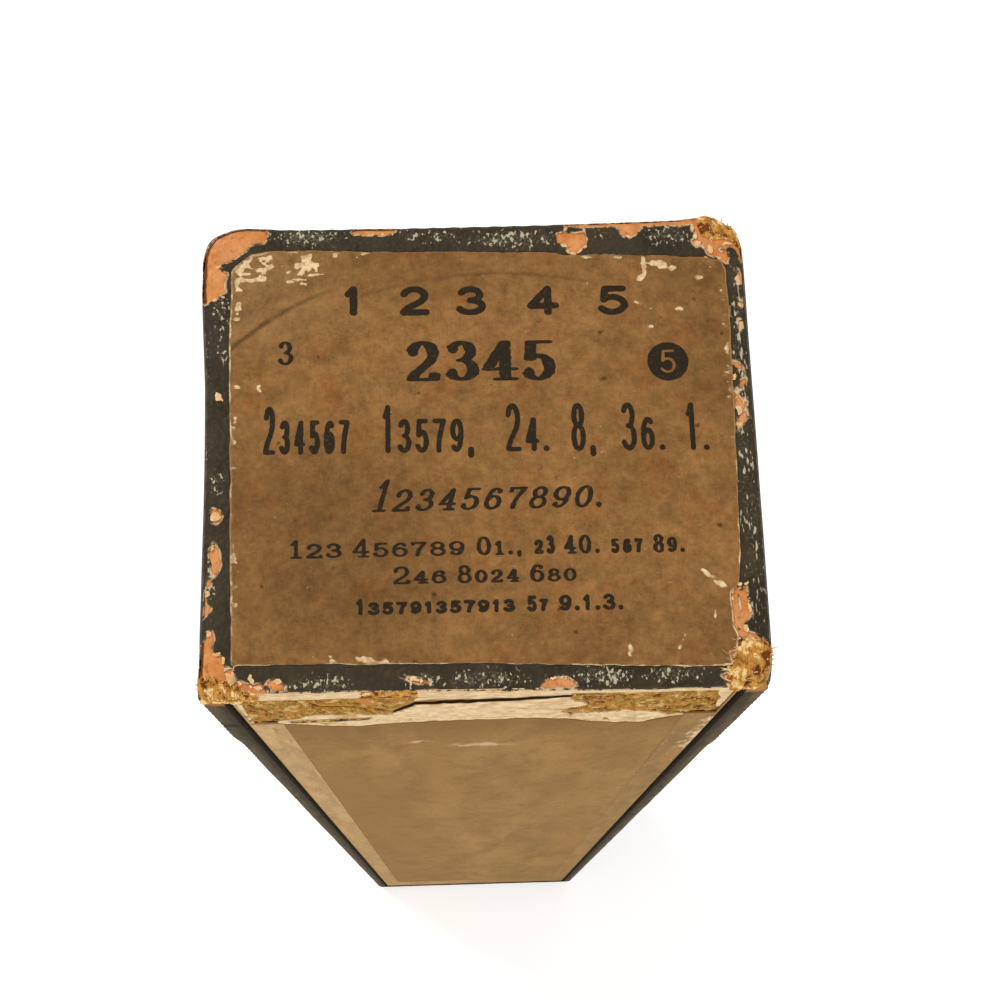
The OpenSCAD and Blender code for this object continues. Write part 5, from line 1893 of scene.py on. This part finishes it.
class MUSICROLL_OT_leader(bpy.types.Operator):
    """Makes the leader as one smooth sheet that spirals round the roll and tapers to its tab"""

    bl_idname = "music_roll.leader"
    bl_label = "Leader"

    def execute(self, context):
        # Millimetres; the spiral sinks by the pitch in each turn
        thick, pitch, narrow = 0.2, 0.45, 8.0
        # Degrees: where the spiral starts, how far it goes, and over how much of it the sheet tapers
        start, total, taper = 62.0, 432.0, 150.0
        reach = float(np.max(np.abs([LEADER_LOW[:2], LEADER_HIGH[:2]])))
        middle, half = (LEADER_LOW[2] + LEADER_HIGH[2]) / 2, (LEADER_HIGH[2] - LEADER_LOW[2]) / 2
        per_degree = math.radians(reach)
        us, zs = grid_around(0, total * per_degree, 0.8), grid_around(-half, half, 0.8)

        def left(u, z):
            width = narrow + (half - narrow) * np.clip(u / per_degree / taper, 0, 1) ** 1.4
            return width - np.abs(z) + 0.12 * rough_at(u, z, 0, 4.0, 151) - 0.12

        def place(u, z, height):
            angle = u / per_degree
            radius = reach - thick - pitch * angle / 360 + height
            turn = np.radians(start + angle)
            return np.column_stack([radius * np.cos(turn), radius * np.sin(turn), middle + z])

        inner = steps(0, us[-2], 0.9), steps(-half, half, 9.0)
        limits = ((0, us[-2]), (-half, half))
        sheet = net_sheet(within(limits, left), (us, zs), inner, place, thick, 0.0)
        material = leader_finish(middle, half)
        make_piece("leader_wrap", [sheet], material, "leader", ["leader_sheet"])
        return {"FINISHED"}


class MUSICROLL_OT_inside(bpy.types.Operator):
    """Finishes the boards, linings, spool and fittings that the parts already give"""

    bl_idname = "music_roll.inside"
    bl_label = "Boards and Spool"

    def execute(self, context):
        stay = tan_finish("stay_finish", "strip", 0.5)
        core = wood_finish("core_wood_finish", "maple", (1.6, 1.6, 30.0), 0.8)
        flange = wood_finish("flange_wood_finish", "stain", (1.5, 16.0, 3.0))
        steel = metal_finish("pin_steel_finish", (0.4, 0.38, 0.35), 0.42, 0.4)
        plate = metal_finish("plate_steel_finish", (0.27, 0.25, 0.22), 0.5)
        brass = metal_finish("brass_finish", (0.5, 0.35, 0.14), 0.42, 0.3)
        for material, *nodes in (
            (board_finish("box_board_finish"), "lid_board", "tray_board"),
            (cream_finish("lining_finish", 0.3), "lid_lining", "tray_lining"),
            (stay, "lid_corner_stays", "tray_corner_stays"),
            (core, "spool_core"),
            (flange, "drive_flange", "idle_flange"),
            (steel, "drive_pin", "idle_pin"),
            (plate, "drive_pin_plate", "idle_pin_plate"),
            (brass, "drive_end_brads", "idle_end_brads", "tab_ring"),
            (tan_finish("roll_paper_finish", "manila", 0.4), "wound_paper", "anchor_tape"),
            (tan_finish("tab_finish"), "leader_tab"),
        ):
            for node in nodes:
                dress_node(node, material)
        return {"FINISHED"}


# Stage

# The camera, fitted to the photo: its lens in mm, its place in metres and its turn in degrees
CAMERA_LENS = 57.106
CAMERA_PLACE = (-0.002377, -0.052572, 0.484934)
CAMERA_TURN = (16.8367, -1.0718, -1.6915)
# Soft lamps: place in metres, power in watts and width in metres
LAMPS = {
    "key_light": ((-0.55, 0.5, 1.0), 5.0, 0.4),
    "fill_light": ((0.5, -0.75, 0.75), 3.6, 0.6),
    "low_light": ((-0.3, -0.9, 0.25), 1.4, 0.6),
}
LAMP_AIM = Vector((0, 0, 0.2))


class MUSICROLL_OT_stage(bpy.types.Operator):
    """Makes the floor, the soft lights and the camera"""

    bl_idname = "music_roll.stage"
    bl_label = "Stage"

    def execute(self, context):
        scene = context.scene
        scene.view_settings.view_transform = "Standard"
        camera = bpy.data.cameras.new("camera")
        camera.lens = CAMERA_LENS
        camera.clip_start = 0.01
        camera.clip_end = 20
        scene.camera = bpy.data.objects.new("camera", camera)
        scene.camera.location = CAMERA_PLACE
        scene.camera.rotation_euler = [math.radians(turn) for turn in CAMERA_TURN]
        scene.collection.objects.link(scene.camera)
        for name, (place, power, size) in LAMPS.items():
            lamp = bpy.data.lights.new(name, "AREA")
            lamp.energy = power
            lamp.size = size
            light = bpy.data.objects.new(name, lamp)
            light.location = place
            light.rotation_euler = (LAMP_AIM - Vector(place)).to_track_quat("-Z", "Y").to_euler()
            scene.collection.objects.link(light)
        scene.world = stage_world()
        make_floor()
        return {"FINISHED"}


def stage_world():
    """Soft even light that looks white where it is seen."""
    world = bpy.data.worlds.new("studio")
    tree = ShaderTree(world)
    light = tree.node("ShaderNodeBackground", sockets={"Color": (1.0, 0.98, 0.95), "Strength": 0.58})
    white = tree.node("ShaderNodeBackground", sockets={"Strength": 1.0})
    mixed = tree.node("ShaderNodeMixShader", sockets={0: tree.seen_directly(), 1: light, 2: white})
    tree.node("ShaderNodeOutputWorld", sockets={"Surface": mixed})
    return world


def make_floor():
    """A wide pale floor that keeps the object's shadow."""
    half = 4.0
    mesh = bpy.data.meshes.new("floor")
    corners = [(-half, -half, 0), (half, -half, 0), (half, half, 0), (-half, half, 0)]
    mesh.from_pydata(corners, [], [(0, 1, 2, 3)])
    floor = bpy.data.objects.new("floor", mesh)
    bpy.context.scene.collection.objects.link(floor)
    material = bpy.data.materials.new("floor_finish")
    tree = ShaderTree(material)
    plain = tree.node("ShaderNodeBsdfDiffuse", sockets={"Color": (0.8, 0.8, 0.8)})
    glow = tree.node("ShaderNodeEmission", sockets={"Strength": 0.45})
    both = tree.node("ShaderNodeAddShader", sockets={0: plain, 1: glow})
    mixed = tree.node("ShaderNodeMixShader", sockets={0: tree.seen_directly(), 1: plain, 2: both})
    tree.node("ShaderNodeOutputMaterial", sockets={"Surface": mixed})
    mesh.materials.append(material)


class MUSICROLL_PT_panel(bpy.types.Panel):
    """Lists the steps that dress the music roll"""

    bl_label = "Music Roll"
    bl_idname = "MUSICROLL_PT_panel"
    bl_space_type = "VIEW_3D"
    bl_region_type = "UI"
    bl_category = "Music Roll"

    def draw(self, context):
        for operator in OPERATORS:
            self.layout.operator(operator.bl_idname)
        for group in (context.scene.roll_sizes, context.scene.roll_colours):
            box = self.layout.box()
            for name in group.__annotations__:
                box.prop(group, name)


OPERATORS = (
    MUSICROLL_OT_stage,
    MUSICROLL_OT_cover,
    MUSICROLL_OT_rim,
    MUSICROLL_OT_corners,
    MUSICROLL_OT_label,
    MUSICROLL_OT_underside,
    MUSICROLL_OT_leader,
    MUSICROLL_OT_inside,
)
CLASSES = (RollSizes, RollColours, *OPERATORS, MUSICROLL_PT_panel)


def register():
    """Adds the settings, the operators and the panel."""
    for cls in CLASSES:
        bpy.utils.register_class(cls)
    bpy.types.Scene.roll_sizes = PointerProperty(type=RollSizes)
    bpy.types.Scene.roll_colours = PointerProperty(type=RollColours)


def unregister():
    """Takes them away again."""
    del bpy.types.Scene.roll_colours
    del bpy.types.Scene.roll_sizes
    for cls in reversed(CLASSES):
        bpy.utils.unregister_class(cls)


def main():
    """Dresses the whole part."""
    register()
    for operator in OPERATORS:
        group, name = operator.bl_idname.split(".")
        getattr(getattr(bpy.ops, group), name)()


if __name__ == "__main__":
    main()
